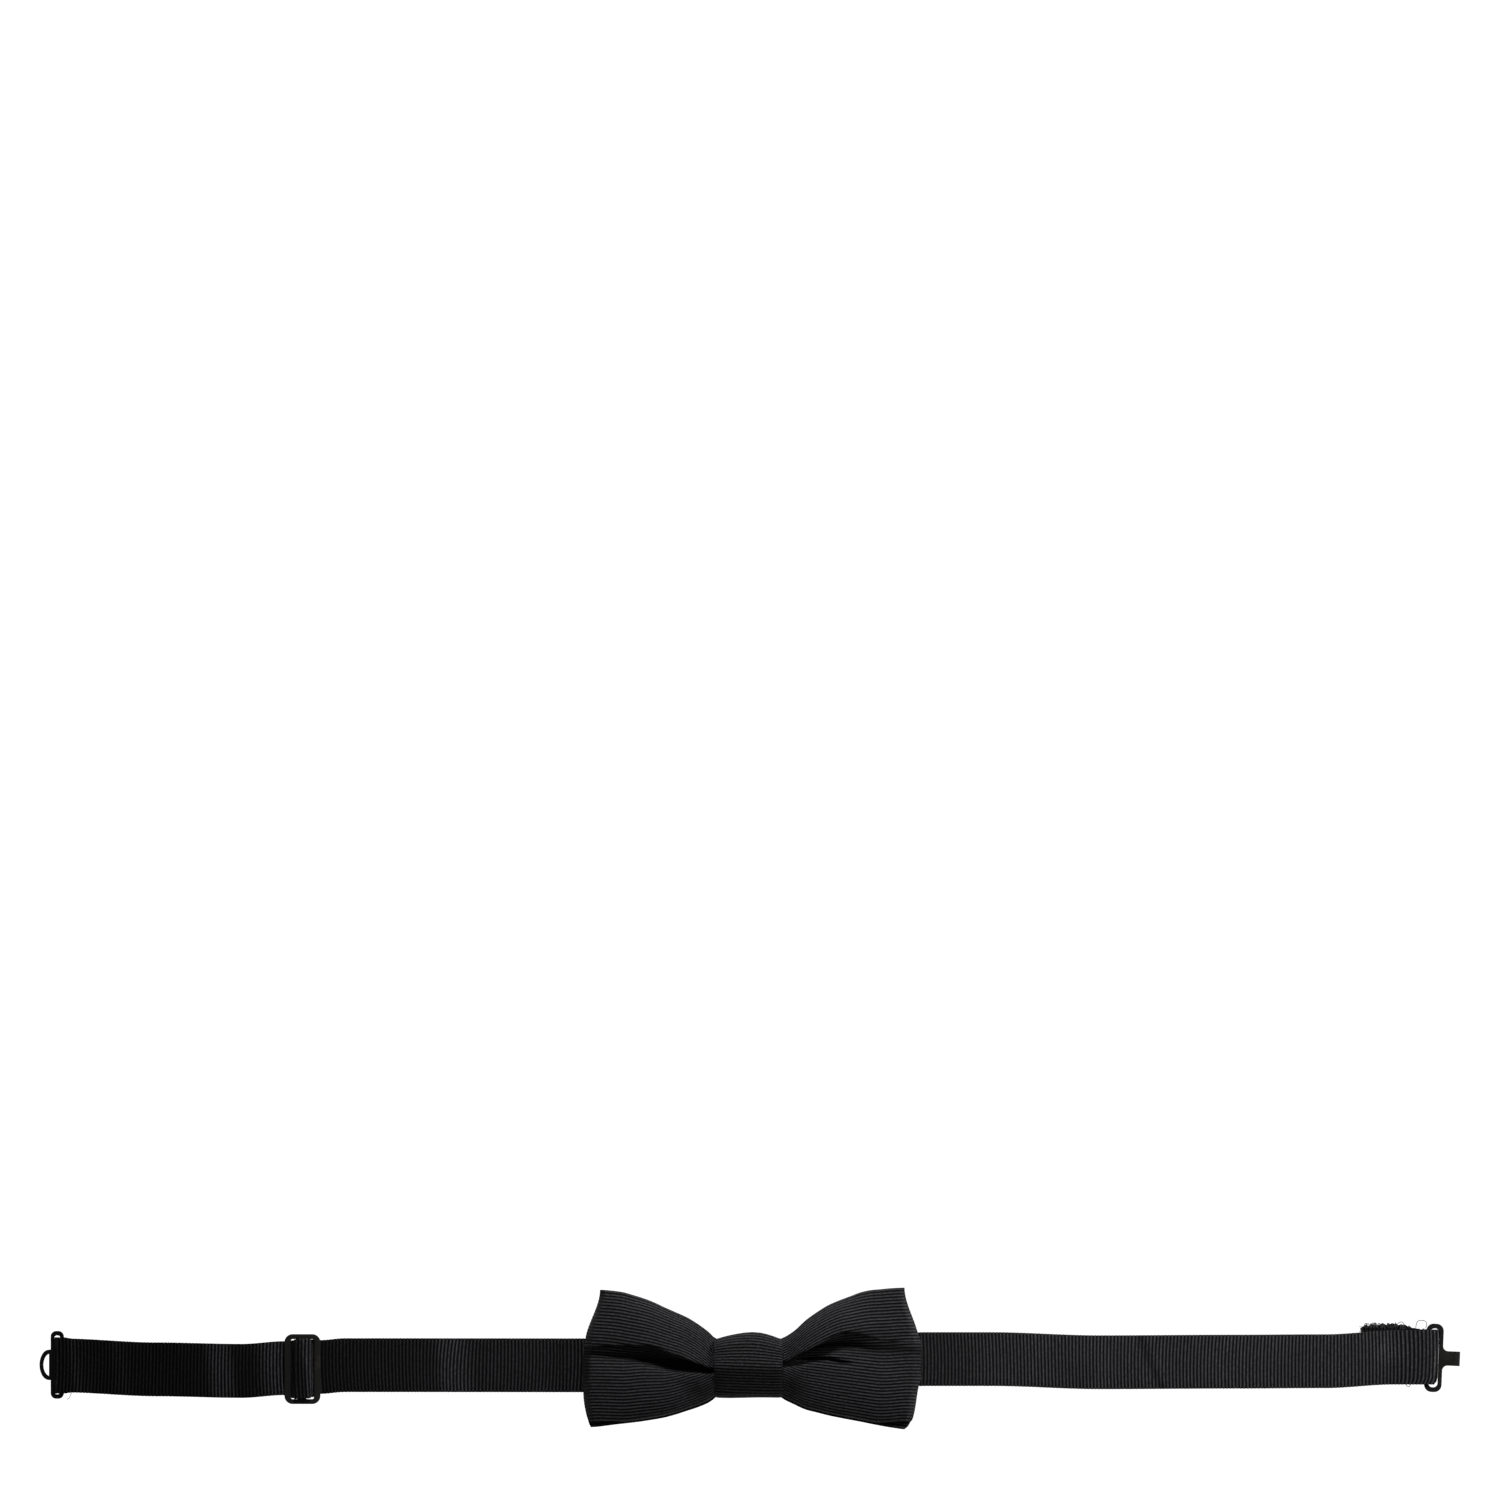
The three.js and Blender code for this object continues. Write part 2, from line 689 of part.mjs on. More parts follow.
// The tab runs out from the plate and bends down and back, as a J seen from the side
function hookBend() {
  const edge = 1.5 * hookBar + hookSlot;
  const end = edge + tabReach - hookThickness / 2;
  const low = hookThickness / 2;
  const line = [
    [edge + tabFillet, hookZ],
    [end, hookZ],
    [end, low],
    [end - lipReach, low],
  ];
  return strip(line, tabWidth, hookThickness, tabBend);
}

function hookClasp() {
  const body = plate(claspOutline(hookBar, hookSlot, hookEndBar), hookZ - hookThickness / 2, hookThickness);
  const turned = new THREE.Matrix4().makeRotationZ(-hookTilt).setPosition(hookBarX, hookY, 0);
  return joined(body, hookTab(), hookBend()).applyMatrix4(turned);
}

// ---------------------------------------------------------------- assembly

const pieces = [
  ["bow_front", bowFront(), grosgrain()],
  ["bow_back", bowBack(), grosgrain()],
  ["bow_interlining", bowInterlining(), canvas()],
  ["waist_binding", waistBinding(), thread()],
  ["knot_wrap", knotWrap(), grosgrain()],
  ["knot_pad", knotPad(), canvas()],
  ["knot_stitches", knotStitches(), thread()],
  ["ribbon_centre", ribbonCentre(), grosgrain()],
  ["ribbon_left", ribbonLeft(), grosgrain()],
  ["ribbon_arch", ribbonArch(), grosgrain()],
  ["ribbon_end_loop", ribbonEndLoop(), grosgrain()],
  ["ribbon_left_front", ribbonLeftFront(), grosgrain()],
  ["ribbon_return", ribbonReturn(), grosgrain()],
  ["ribbon_eye_fold", ribbonEyeFold(), grosgrain()],
  ["ribbon_right_fold", ribbonRightFold(), grosgrain()],
  ["ribbon_right", ribbonRight(), grosgrain()],
  ["ribbon_right_step", ribbonRightStep(), grosgrain()],
  ["ribbon_hook_fold", ribbonHookFold(), grosgrain()],
  ["slider_stitches", sliderStitches(), thread()],
  ["hook_stitches", hookStitches(), thread()],
  ["slider", slider(), blackMetal()],
  ["eye_clasp", eyeClasp(), blackMetal()],
  ["hook_clasp", hookClasp(), blackMetal()],
];

const bowTie = new THREE.Group();
for (const [name, geometry, material] of pieces) {
  const piece = new THREE.Mesh(geometry, material);
  piece.name = name;
  bowTie.add(piece);
}

export default bowTie;
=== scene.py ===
"""Looks of the pre-tied grosgrain bow tie, built round its CAD frame.

All shapes below are worked out in millimetres, in the CAD frame: X along the neck ribbon,
Y up the wearer's face, Z out of the knot's front. `MM` turns them into Blender's metres.
"""
import math

import bmesh
import bpy
import numpy as np
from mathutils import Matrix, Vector


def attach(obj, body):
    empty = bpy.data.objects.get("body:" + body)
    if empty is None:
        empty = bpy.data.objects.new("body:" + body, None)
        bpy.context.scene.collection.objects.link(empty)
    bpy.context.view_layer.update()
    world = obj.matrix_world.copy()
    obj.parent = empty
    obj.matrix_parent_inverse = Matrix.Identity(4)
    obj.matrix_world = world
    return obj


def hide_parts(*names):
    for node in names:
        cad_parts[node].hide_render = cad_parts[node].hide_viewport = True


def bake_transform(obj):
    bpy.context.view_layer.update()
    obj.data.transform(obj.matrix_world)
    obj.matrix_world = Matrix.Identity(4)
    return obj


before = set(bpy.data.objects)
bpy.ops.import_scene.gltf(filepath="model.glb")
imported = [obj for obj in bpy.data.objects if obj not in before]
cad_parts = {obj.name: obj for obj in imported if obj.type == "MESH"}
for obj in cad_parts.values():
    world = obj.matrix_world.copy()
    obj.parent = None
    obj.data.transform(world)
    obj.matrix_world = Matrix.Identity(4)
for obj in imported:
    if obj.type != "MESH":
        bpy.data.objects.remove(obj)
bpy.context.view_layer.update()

MM = 0.001
RNG = np.random.default_rng(11)

# ---------------------------------------------------------------- sizes shared with the CAD

RIBBON_HALF = 9.0
RIBBON_THICK = 0.6
KNOT_HALF_WIDTH = 11.4
SLIDER_X = -147.2
EYE_BAR_X = -226.5
HOOK_BAR_X = 224.0
TABLE_Z = 0.3  # middle of a strand that lies on the table
UPPER_Z = 1.2  # middle of a strand that lies on another one
KNOT_STRAND_Z = 2.0  # middle of the strand that passes through the knot
BOW_MIDDLE_Z = 6.1
WING_DROOP = 0.9
LAYER_FACE = 0.5  # from the bow's middle to the face of each layer
LEFT_TIP, RIGHT_TIP = 54.6, 56.9

# ---------------------------------------------------------------- sizes of the cloth

RIBBON_PITCH = 1.15
BOW_PITCH = 1.1
KNOT_PITCH = 1.02
RIB_DEPTH = 0.2
RIB_STEPS = 6  # mesh steps across each rib
CROWN_POWER = 4.0  # how sharply the painted shade darkens a rib beside its crest

# ---------------------------------------------------------------- maths


def smooth(x, lo, hi):
    t = np.clip((np.asarray(x, float) - lo) / (hi - lo), 0, 1)
    return t * t * (3 - 2 * t)


def mix(a, b, t):
    return a + (b - a) * t


def hump(x, middle, width):
    return np.exp(-(((np.asarray(x, float) - middle) / width) ** 2))


def curve(points):
    """A smooth curve through (x, y) points that doesn't overshoot them."""
    xs, ys = np.array(points, float).T
    step = np.diff(xs)
    slope = np.diff(ys) / step
    tangent = np.zeros_like(ys)
    for i in range(1, len(xs) - 1):
        a, b = slope[i - 1], slope[i]
        if a * b > 0:
            wa, wb = 2 * step[i] + step[i - 1], step[i] + 2 * step[i - 1]
            tangent[i] = (wa + wb) / (wa / a + wb / b)

    def at(x):
        x = np.clip(np.asarray(x, float), xs[0], xs[-1])
        i = np.clip(np.searchsorted(xs, x, side="right") - 1, 0, len(xs) - 2)
        h = xs[i + 1] - xs[i]
        t = (x - xs[i]) / h
        return (
            ys[i] * (1 + 2 * t) * (1 - t) ** 2
            + tangent[i] * h * t * (1 - t) ** 2
            + ys[i + 1] * t * t * (3 - 2 * t)
            + tangent[i + 1] * h * t * t * (t - 1)
        )

    return at


def rounded_line(corners, radius, step=0.15):
    """A polyline with each corner rounded, as dense points."""
    corners = np.array(corners, float)
    pts = [corners[0]]
    for before, corner, after in zip(corners[:-2], corners[1:-1], corners[2:]):
        ra = min(radius, 0.48 * np.linalg.norm(corner - before))
        rb = min(radius, 0.48 * np.linalg.norm(after - corner))
        a = corner + (before - corner) / np.linalg.norm(before - corner) * ra
        b = corner + (after - corner) / np.linalg.norm(after - corner) * rb
        for t in np.linspace(0, 1, 9):
            pts.append(mix(mix(a, corner, t), mix(corner, b, t), t))
    pts.append(corners[-1])
    pts = np.array(pts)
    run = np.r_[0, np.cumsum(np.linalg.norm(np.diff(pts, axis=0), axis=1))]
    s = np.linspace(0, run[-1], max(2, int(run[-1] / step)))
    return np.stack([np.interp(s, run, pts[:, k]) for k in (0, 1)], 1)


# ---------------------------------------------------------------- meshes


def shell_object(name, outer, inner, material, cloth=None):
    """A closed mesh from two grids of points joined round their rims."""
    n, m = outer.shape[:2]
    idx = np.arange(n * m).reshape(n, m)
    a, b, c, d = idx[:-1, :-1], idx[1:, :-1], idx[1:, 1:], idx[:-1, 1:]
    front = np.stack([a, b, c, d], -1).reshape(-1, 4)
    back = np.stack([a, d, c, b], -1).reshape(-1, 4) + n * m
    rim = np.concatenate([idx[:, 0], idx[-1, 1:], idx[-2::-1, -1], idx[0, -2:0:-1]])
    after = np.roll(rim, -1)
    side = np.stack([rim, rim + n * m, after + n * m, after], -1)
    quads = np.concatenate([front, back, side]).astype(np.int32)
    points = np.concatenate([outer.reshape(-1, 3), inner.reshape(-1, 3)])
    if cloth is not None:
        cloth = np.concatenate([cloth.reshape(-1, 3)] * 2)
    return mesh_object(name, points, quads, material, cloth)


def mesh_object(name, points, quads, material, cloth=None):
    mesh = bpy.data.meshes.new(name)
    mesh.vertices.add(len(points))
    mesh.vertices.foreach_set("co", (points * MM).astype(np.float32).ravel())
    mesh.loops.add(quads.size)
    mesh.loops.foreach_set("vertex_index", quads.ravel())
    mesh.polygons.add(len(quads))
    mesh.polygons.foreach_set("loop_start", np.arange(0, quads.size, 4, dtype=np.int32))
    mesh.update(calc_edges=True)
    if cloth is not None:
        mesh.attributes.new("cloth", "FLOAT_VECTOR", "POINT")
        mesh.attributes["cloth"].data.foreach_set("vector", cloth.astype(np.float32).ravel())
    bm = bmesh.new()
    bm.from_mesh(mesh)
    bmesh.ops.recalc_face_normals(bm, faces=bm.faces)
    bm.to_mesh(mesh)
    bm.free()
    mesh.polygons.foreach_set("use_smooth", np.ones(len(mesh.polygons), bool))
    mesh.materials.append(material)
    obj = bpy.data.objects.new(name, mesh)
    bpy.context.scene.collection.objects.link(obj)
    return obj


def grid_normals(grid):
    du = np.gradient(grid, axis=0)
    dv = np.gradient(grid, axis=1)
    n = np.cross(du, dv)
    return n / np.maximum(np.linalg.norm(n, axis=2, keepdims=True), 1e-9)


# ---------------------------------------------------------------- ribbed strips

ACROSS = 14  # points across a strip
SELVEDGE = 0.97  # share of the half width beyond which a strip is thinner and scalloped
SELVEDGE_THICK = 0.62
SCALLOP = 0.12
LAG_FADE = 3  # length over which the ribs straighten towards a strip's ends


def strip(name, corners, half, material, lag, place, pitch=RIBBON_PITCH, radius=1.0,
          thick=RIBBON_THICK, painted_light=None):
    """A ribbed strip that follows a line of (along, z) corners and is 2 * half wide.

    lag(along, aside) slides the ribs along the strip, so they bow and slant. place(grid) turns
    (along, aside, z) points into (x, y, z) ones. The last argument gives painted light and shade:
    a function of (x, y) for how bright the ribs are painted there.
    """
    line = rounded_line(corners, radius)
    run = np.r_[0, np.cumsum(np.linalg.norm(np.diff(line, axis=0), axis=1))]
    length = run[-1]
    ribs = max(1, round(length / pitch))
    s = np.linspace(0, length, ribs * RIB_STEPS + 1)
    tangent = np.gradient(line, axis=0)
    tangent /= np.linalg.norm(tangent, axis=1, keepdims=True)
    aside = half * np.sin(np.linspace(-1, 1, ACROSS) * math.pi / 2)
    along = np.interp(s, run, line[:, 0])
    grid_s = np.repeat(s[:, None], ACROSS, 1)
    fade = np.minimum(1, np.minimum(s, length - s) / LAG_FADE)[:, None]
    lagged = grid_s + fade * lag(along[:, None], aside[None, :])
    p, z = (np.interp(lagged, run, line[:, k]) for k in (0, 1))
    tx, tz = (np.interp(lagged, run, tangent[:, k]) for k in (0, 1))
    crown = np.abs(np.sin(np.pi * ribs * s / length))[:, None] * np.ones(ACROSS)
    at_edge = np.abs(aside) > SELVEDGE * half
    edge = np.where(at_edge, SELVEDGE_THICK, 1.0)[None, :]
    lift = (thick / 2 - RIB_DEPTH + RIB_DEPTH * crown) * edge
    scallop = np.where(at_edge, SCALLOP, 0)[None, :] * np.sign(aside)[None, :]
    across = aside[None, :] + scallop * (crown - 1)
    outer = place(np.stack([p - tz * lift, across, z + tx * lift], -1))
    inner = place(np.stack([p + tz * lift, across, z - tx * lift], -1))
    # Painted light and shade: the given function makes the ribs' crests brighter or darker here.
    if painted_light is not None:
        crown = crown * painted_light(outer[..., 0], outer[..., 1]) ** (1 / CROWN_POWER)
    cloth = np.stack([across, grid_s, crown], -1)
    obj = shell_object(name, outer, inner, material, cloth)
    obj["flat_length"] = length
    return obj


# ---------------------------------------------------------------- how the neck ribbon lies

# The ribbon's middle, as (x, y) points: it isn't laid quite straight.
RIBBON_LIE = [
    (EYE_BAR_X, 0), (-195.2, -1.3), (-167.2, -1.8), (-153.2, -0.9), (-141.2, -0.5),
    (-133.2, 0.1), (5, 0), (60, 2.1), (80, 2.1), (116, 1.05), (160, 1.25), (190.3, 1.4),
    (213.3, 2.6), (HOOK_BAR_X, 2.6),
]
BENT_X = -97  # a bend in the left ribbon, where its ribs bow and lean more
CREASE_X, CREASE_SLANT = 132.2, 0.43  # a sharp crease across the right ribbon
FOLD_X, FOLD_SLANT = 224.9, 0.177  # the fold round the hook clasp's bar, at the lower edge
FOLD_LOW_Y = -8.7
TAIL_END_X = 202.3  # raw edge of the end turned back at the hook clasp


def ribbon_y(x):
    """How far the ribbon's middle lies off the X axis."""
    xs, ys = np.array(RIBBON_LIE, float).T
    x = np.clip(x, xs[0], xs[-1])
    i = np.clip(np.searchsorted(xs, x, side="right") - 1, 0, len(xs) - 2)
    return mix(ys[i], ys[i + 1], smooth((x - xs[i]) / (xs[i + 1] - xs[i]), 0, 1))


def rib_lag(x, y):
    """Ribs bow to one side and lean, a little differently along the ribbon."""
    bow = 0.35 * np.sin(x / 31) + 0.55 * hump(x, BENT_X, 9)
    lean = 0.25 * np.sin(x / 23 + 1) - 0.45 * hump(x, BENT_X, 9)
    return bow * (1 - (y / RIBBON_HALF) ** 2) + lean * y / RIBBON_HALF


def ribbon_lift(x, y):
    """Soft waves and creases that pressing didn't take out."""
    left = 1.1 * smooth(x, -140, -103) * (1 - smooth(x, -103, -91))
    doubled = 0.22 * (hump(x, -180, 9) + hump(x, -162.5, 4.5))
    crease = -0.25 * hump(x + CREASE_SLANT * y, CREASE_X, 1.0)
    cup = 0.12 * hump(x, 150, 60) * (1 - (y / RIBBON_HALF) ** 2)
    return left + doubled + crease + cup


# How bright the ribs are painted along the neck ribbon: painted light and shade, lighter where it
# was folded or doubled.
RIBBON_PAINTED_LIGHT = curve([
    (-229, 0.3), (-224.5, 0.3), (-222.5, 0.6), (-219.5, 0.3), (-212, 0.22), (-207, 0.4),
    (-203, 0.22), (-190, 0.18), (-180, 0.22), (-175.5, 0.85), (-172, 0.85), (-169, 0.2),
    (-164, 0.2), (-158, 0.75), (-154, 0.9), (-150, 0.25), (-147.5, 0.3), (-145.6, 1.0),
    (-143.6, 0.8), (-141, 0.15), (-136, 0.22), (-120, 0.26), (-104, 0.32), (-100, 0.68),
    (-95, 0.62), (-89, 0.34), (-70, 0.33), (-58, 0.35), (0, 0.4), (58, 0.3), (66, 0.34),
    (80, 0.46), (100, 0.52), (190, 0.52), (229, 0.5),
])
PAINTED_LIGHT_SLANT = 0.12  # how far the left ribbon's bands of painted light lean


def ribbon_painted_light(x, y):
    """Painted light and shade: a lit patch, shade in the crease, and a highlight on the fold's
    crest with shade on its turned side.
    """
    lit_patch = 0.3 * hump(x, 210, 6) * hump(y, 4.5, 4)
    crease_shade = -0.25 * hump(x + CREASE_SLANT * (y - 1.2), CREASE_X, 1.2)
    past_fold = x - (FOLD_X + FOLD_SLANT * (y - FOLD_LOW_Y))
    crest = 0.45 * hump(past_fold, 0, 0.5)
    turned = 1 - 0.75 * smooth(past_fold, 0.4, 1.0)
    return (RIBBON_PAINTED_LIGHT(x + PAINTED_LIGHT_SLANT * y * (x < 0)) + lit_patch + crease_shade + crest) * turned


def lay(grid, lifted=True):
    """The ribbon's own lie, a little wider where the eye clasp's slot spreads it."""
    out = grid.copy()
    x, y, z = grid[..., 0], grid[..., 1], grid[..., 2]
    out[..., 1] = y * (1 + 0.042 * smooth(-x, 223, 226)) + ribbon_y(x)
    if lifted:
        out[..., 2] = z + ribbon_lift(x, y)
    return out


def lay_flat(grid):
    return lay(grid, False)


def lay_arch(grid):
    """The ribbon spreads a little where it humps over the slider's bar."""
    out = lay_flat(grid)
    spread = mix(1.07, 1.11, smooth(grid[..., 2], 2.8, 4.0))
    out[..., 1] = (out[..., 1] + 0.7) * spread - 1.1
    return out


def lay_right(grid):
    """The right ribbon lies as the left does, and its fold is skewed round the clasp's bar."""
    out = lay(grid)
    x, y = grid[..., 0], grid[..., 1]
    reach = mix(0.1, 1.78, smooth(y, -10.5, -7)) + 0.38 * y / RIBBON_HALF
    out[..., 0] = x + smooth(x, 212, 222) * reach
    out[..., 1] = out[..., 1] + 0.36 * smooth(x, 217, 222) * smooth(y, 3, 8.5)
    return out


def tail_slip(x):
    """How much of its slip to one side the turned-back end has, away from the clasp."""
    return 1 - smooth(x, 213.5, 221.5)


def lay_tail(grid):
    """The turned-back end lies askew, with a lumpy raw edge."""
    out = lay_right(grid)
    x, y = grid[..., 0], grid[..., 1]
    out[..., 1] = out[..., 1] + tail_slip(x) * (2.2 + 0.25 * np.sin(1.9 * x) * smooth(y, 7, 9))
    ragged = 0.5 * np.sin(2.3 * y) + 0.4 * np.sin(5.1 * y + 1)
    out[..., 0] = out[..., 0] + ragged * (1 - smooth(x, TAIL_END_X + 0.2, 207))
    return out


# ---------------------------------------------------------------- materials


NODE_SETTINGS = ("operation", "data_type", "attribute_name", "wave_type", "bands_direction")
MIX_DARK, MIX_LIGHT, MIX_RESULT = 6, 7, 2  # a Mix node's colour sockets


class Recipe:
    """One material under construction."""

    def __init__(self, name):
        self.material = bpy.data.materials.new(name)
        self.material.use_nodes = True
        self.nodes, self.link = self.material.node_tree.nodes, self.material.node_tree.links.new
        self.shader = self.nodes["Principled BSDF"]

    def node(self, kind, **values):
        made = self.nodes.new(kind)
        for key, value in values.items():
            if key in NODE_SETTINGS:
                setattr(made, key, value)
            else:
                made.inputs[key].default_value = value
        return made

    def surface(self, **values):
        """Sets the shader's own sockets, with _ for each space in a name."""
        for key, value in values.items():
            self.shader.inputs[key.replace("_", " ")].default_value = value

    def texture(self, kind, vector, **values):
        made = self.node(kind, **values)
        self.link(vector, made.inputs["Vector"])
        return made

    def maths(self, operation, a, b):
        """a and b are sockets, or b is a number."""
        made = self.node("ShaderNodeMath", operation=operation)
        self.link(a, made.inputs[0])
        if isinstance(b, float):
            made.inputs[1].default_value = b
        else:
            self.link(b, made.inputs[1])
        return made.outputs[0]

    def ramp(self, source, low, high, out_low=0.0, out_high=1.0):
        made = self.nodes.new("ShaderNodeMapRange")
        for socket, value in enumerate((low, high, out_low, out_high), 1):
            made.inputs[socket].default_value = value
        self.link(source, made.inputs[0])
        return made.outputs[0]

    def colours(self, share, dark, light):
        """The base colour goes from dark to light as share goes from 0 to 1."""
        colour = self.node("ShaderNodeMix", data_type="RGBA")
        self.link(share, colour.inputs[0])
        colour.inputs[MIX_DARK].default_value = (*dark, 1)
        colour.inputs[MIX_LIGHT].default_value = (*light, 1)
        self.link(colour.outputs[MIX_RESULT], self.shader.inputs["Base Color"])

    def bump(self, height, strength, distance):
        made = self.node("ShaderNodeBump", Strength=strength, Distance=distance)
        self.link(height, made.inputs["Height"])
        self.link(made.outputs[0], self.shader.inputs["Normal"])


CLOTH_TINT = np.array((0.97, 0.97, 1.06))
SPECK_DARK, SPECK_LIGHT = 0.7, 1.36


def ribbed_cloth(name, dark, light):
    """Grosgrain: thick ribs under fine shiny yarns, from the mesh's own cloth coordinates."""
    recipe = Recipe(name)
    cloth = recipe.node("ShaderNodeAttribute", attribute_name="cloth").outputs["Vector"]
    split = recipe.node("ShaderNodeSeparateXYZ")
    recipe.link(cloth, split.inputs[0])
    crown = split.outputs[2]

    def scaled(x, y):
        made = recipe.node("ShaderNodeVectorMath", operation="MULTIPLY")
        recipe.link(cloth, made.inputs[0])
        made.inputs[1].default_value = (x, y, 0)
        return made.outputs[0]

    def noise(x, y, scale, detail):
        made = recipe.texture("ShaderNodeTexNoise", scaled(x, y), Scale=scale, Detail=detail)
        return made.outputs[0]

    speck = recipe.ramp(noise(1.1, 0.9, 1.0, 2.0), 0.32, 0.68, SPECK_DARK, SPECK_LIGHT)
    patch = recipe.ramp(noise(0.05, 0.08, 1.0, 3.0), 0.3, 0.7, 0.85, 1.15)
    # Painted shade: the colour darkens from each rib's crest into its valleys, times random specks
    # and patches.
    crest = recipe.maths("POWER", crown, CROWN_POWER)
    shade = recipe.maths("MULTIPLY", recipe.maths("MULTIPLY", crest, speck), patch)
    recipe.colours(shade, dark * CLOTH_TINT, light * CLOTH_TINT)
    rough = recipe.ramp(speck, SPECK_DARK, SPECK_LIGHT, 0.7, 0.52)
    recipe.link(rough, recipe.shader.inputs["Roughness"])

    yarn = recipe.texture("ShaderNodeTexWave", scaled(1, 0.35), wave_type="BANDS",
                          bands_direction="X", Scale=1.15, Distortion=1.2, Detail=1.0)
    raised = recipe.maths("MULTIPLY", yarn.outputs[1], crown)
    recipe.bump(recipe.maths("ADD", raised, noise(3, 3, 1.5, 3.0)), 0.55, 0.00006)
    recipe.surface(Specular_IOR_Level=0.08, Sheen_Weight=0.03, Sheen_Roughness=0.45,
                   Sheen_Tint=(0.9, 0.9, 1.0, 1))
    return recipe.material


def canvas_cloth(name, dark, light, scale):
    """Plain woven cloth from two crossed waves."""
    recipe = Recipe(name)
    place = recipe.node("ShaderNodeTexCoord").outputs["Object"]
    warp, weft = (
        recipe.texture("ShaderNodeTexWave", place, wave_type="BANDS", bands_direction=direction,
                       Scale=scale, Distortion=1.0).outputs[1]
        for direction in ("X", "Y"))
    weave = recipe.maths("MULTIPLY", warp, weft)
    recipe.colours(weave, dark, light)
    recipe.bump(weave, 0.6, 0.0001)
    recipe.surface(Roughness=0.92, Sheen_Weight=0.1)
    return recipe.material


def coated_metal(name, tone):
    """Thin satin black coat on steel, slightly uneven and scuffed."""
    recipe = Recipe(name)
    place = recipe.node("ShaderNodeTexCoord").outputs["Object"]
    grain = recipe.texture("ShaderNodeTexNoise", place, Scale=900.0, Detail=4.0).outputs[0]
    cloud = recipe.texture("ShaderNodeTexNoise", place, Scale=160.0, Detail=3.0).outputs[0]
    recipe.colours(recipe.ramp(cloud, 0.56, 0.74), (tone, 0.96 * tone, 0.91 * tone),
                   (2 * tone, 1.9 * tone, 1.8 * tone))
    recipe.link(recipe.ramp(cloud, 0.0, 1.0, 0.5, 0.66), recipe.shader.inputs["Roughness"])
    recipe.bump(grain, 0.25, 0.00004)
    recipe.surface(Specular_IOR_Level=0.12, Coat_Weight=0.04, Coat_Roughness=0.3)
    return recipe.material


def thread_material(name):
    """Two-ply sewing thread: a slanted twist with loose fibres."""
    recipe = Recipe(name)
    place = recipe.node("ShaderNodeTexCoord").outputs["Object"]
    twist = recipe.texture("ShaderNodeTexWave", place, wave_type="BANDS",
                           bands_direction="DIAGONAL", Scale=900.0, Distortion=0.6).outputs[1]
    recipe.colours(twist, (0.003, 0.003, 0.0037), (0.012, 0.012, 0.0145))
    recipe.bump(twist, 0.5, 0.00005)
    recipe.surface(Roughness=0.6, Sheen_Weight=0.2)
    return recipe.material


def lit_paper(name):
    """Plain white paper, lit from within so that it stays as pale as the photograph's."""
    recipe = Recipe(name)
    recipe.surface(Base_Color=(0.9, 0.9, 0.9, 1), Roughness=0.9, Emission_Color=(1, 1, 1, 1),
                   Emission_Strength=1.0)
    return recipe.material


BAND_CLOTH = ribbed_cloth("band_grosgrain", 0.002, 0.12)
BOW_CLOTH = ribbed_cloth("bow_grosgrain", 0.0012, 0.06)
# Painted shade: a darker copy of the grosgrain for the turned-back end under the hook clasp.
SHADED_CLOTH = ribbed_cloth("grosgrain_painted_shade", 0.0004, 0.012)
KNOT_CLOTH = ribbed_cloth("knot_grosgrain", 0.0015, 0.056)
CANVAS = canvas_cloth("canvas", (0.02, 0.019, 0.02), (0.07, 0.066, 0.07), 800.0)
BINDING_CLOTH = canvas_cloth("binding_twill", (0.005, 0.005, 0.006), (0.02, 0.02, 0.023), 1200.0)
METALS = {
    "slider": coated_metal("slider_coat", 0.026),
    "eye_clasp": coated_metal("eye_coat", 0.014),
    "hook_clasp": coated_metal("hook_coat", 0.0075),
}
THREAD = thread_material("sewing_thread")
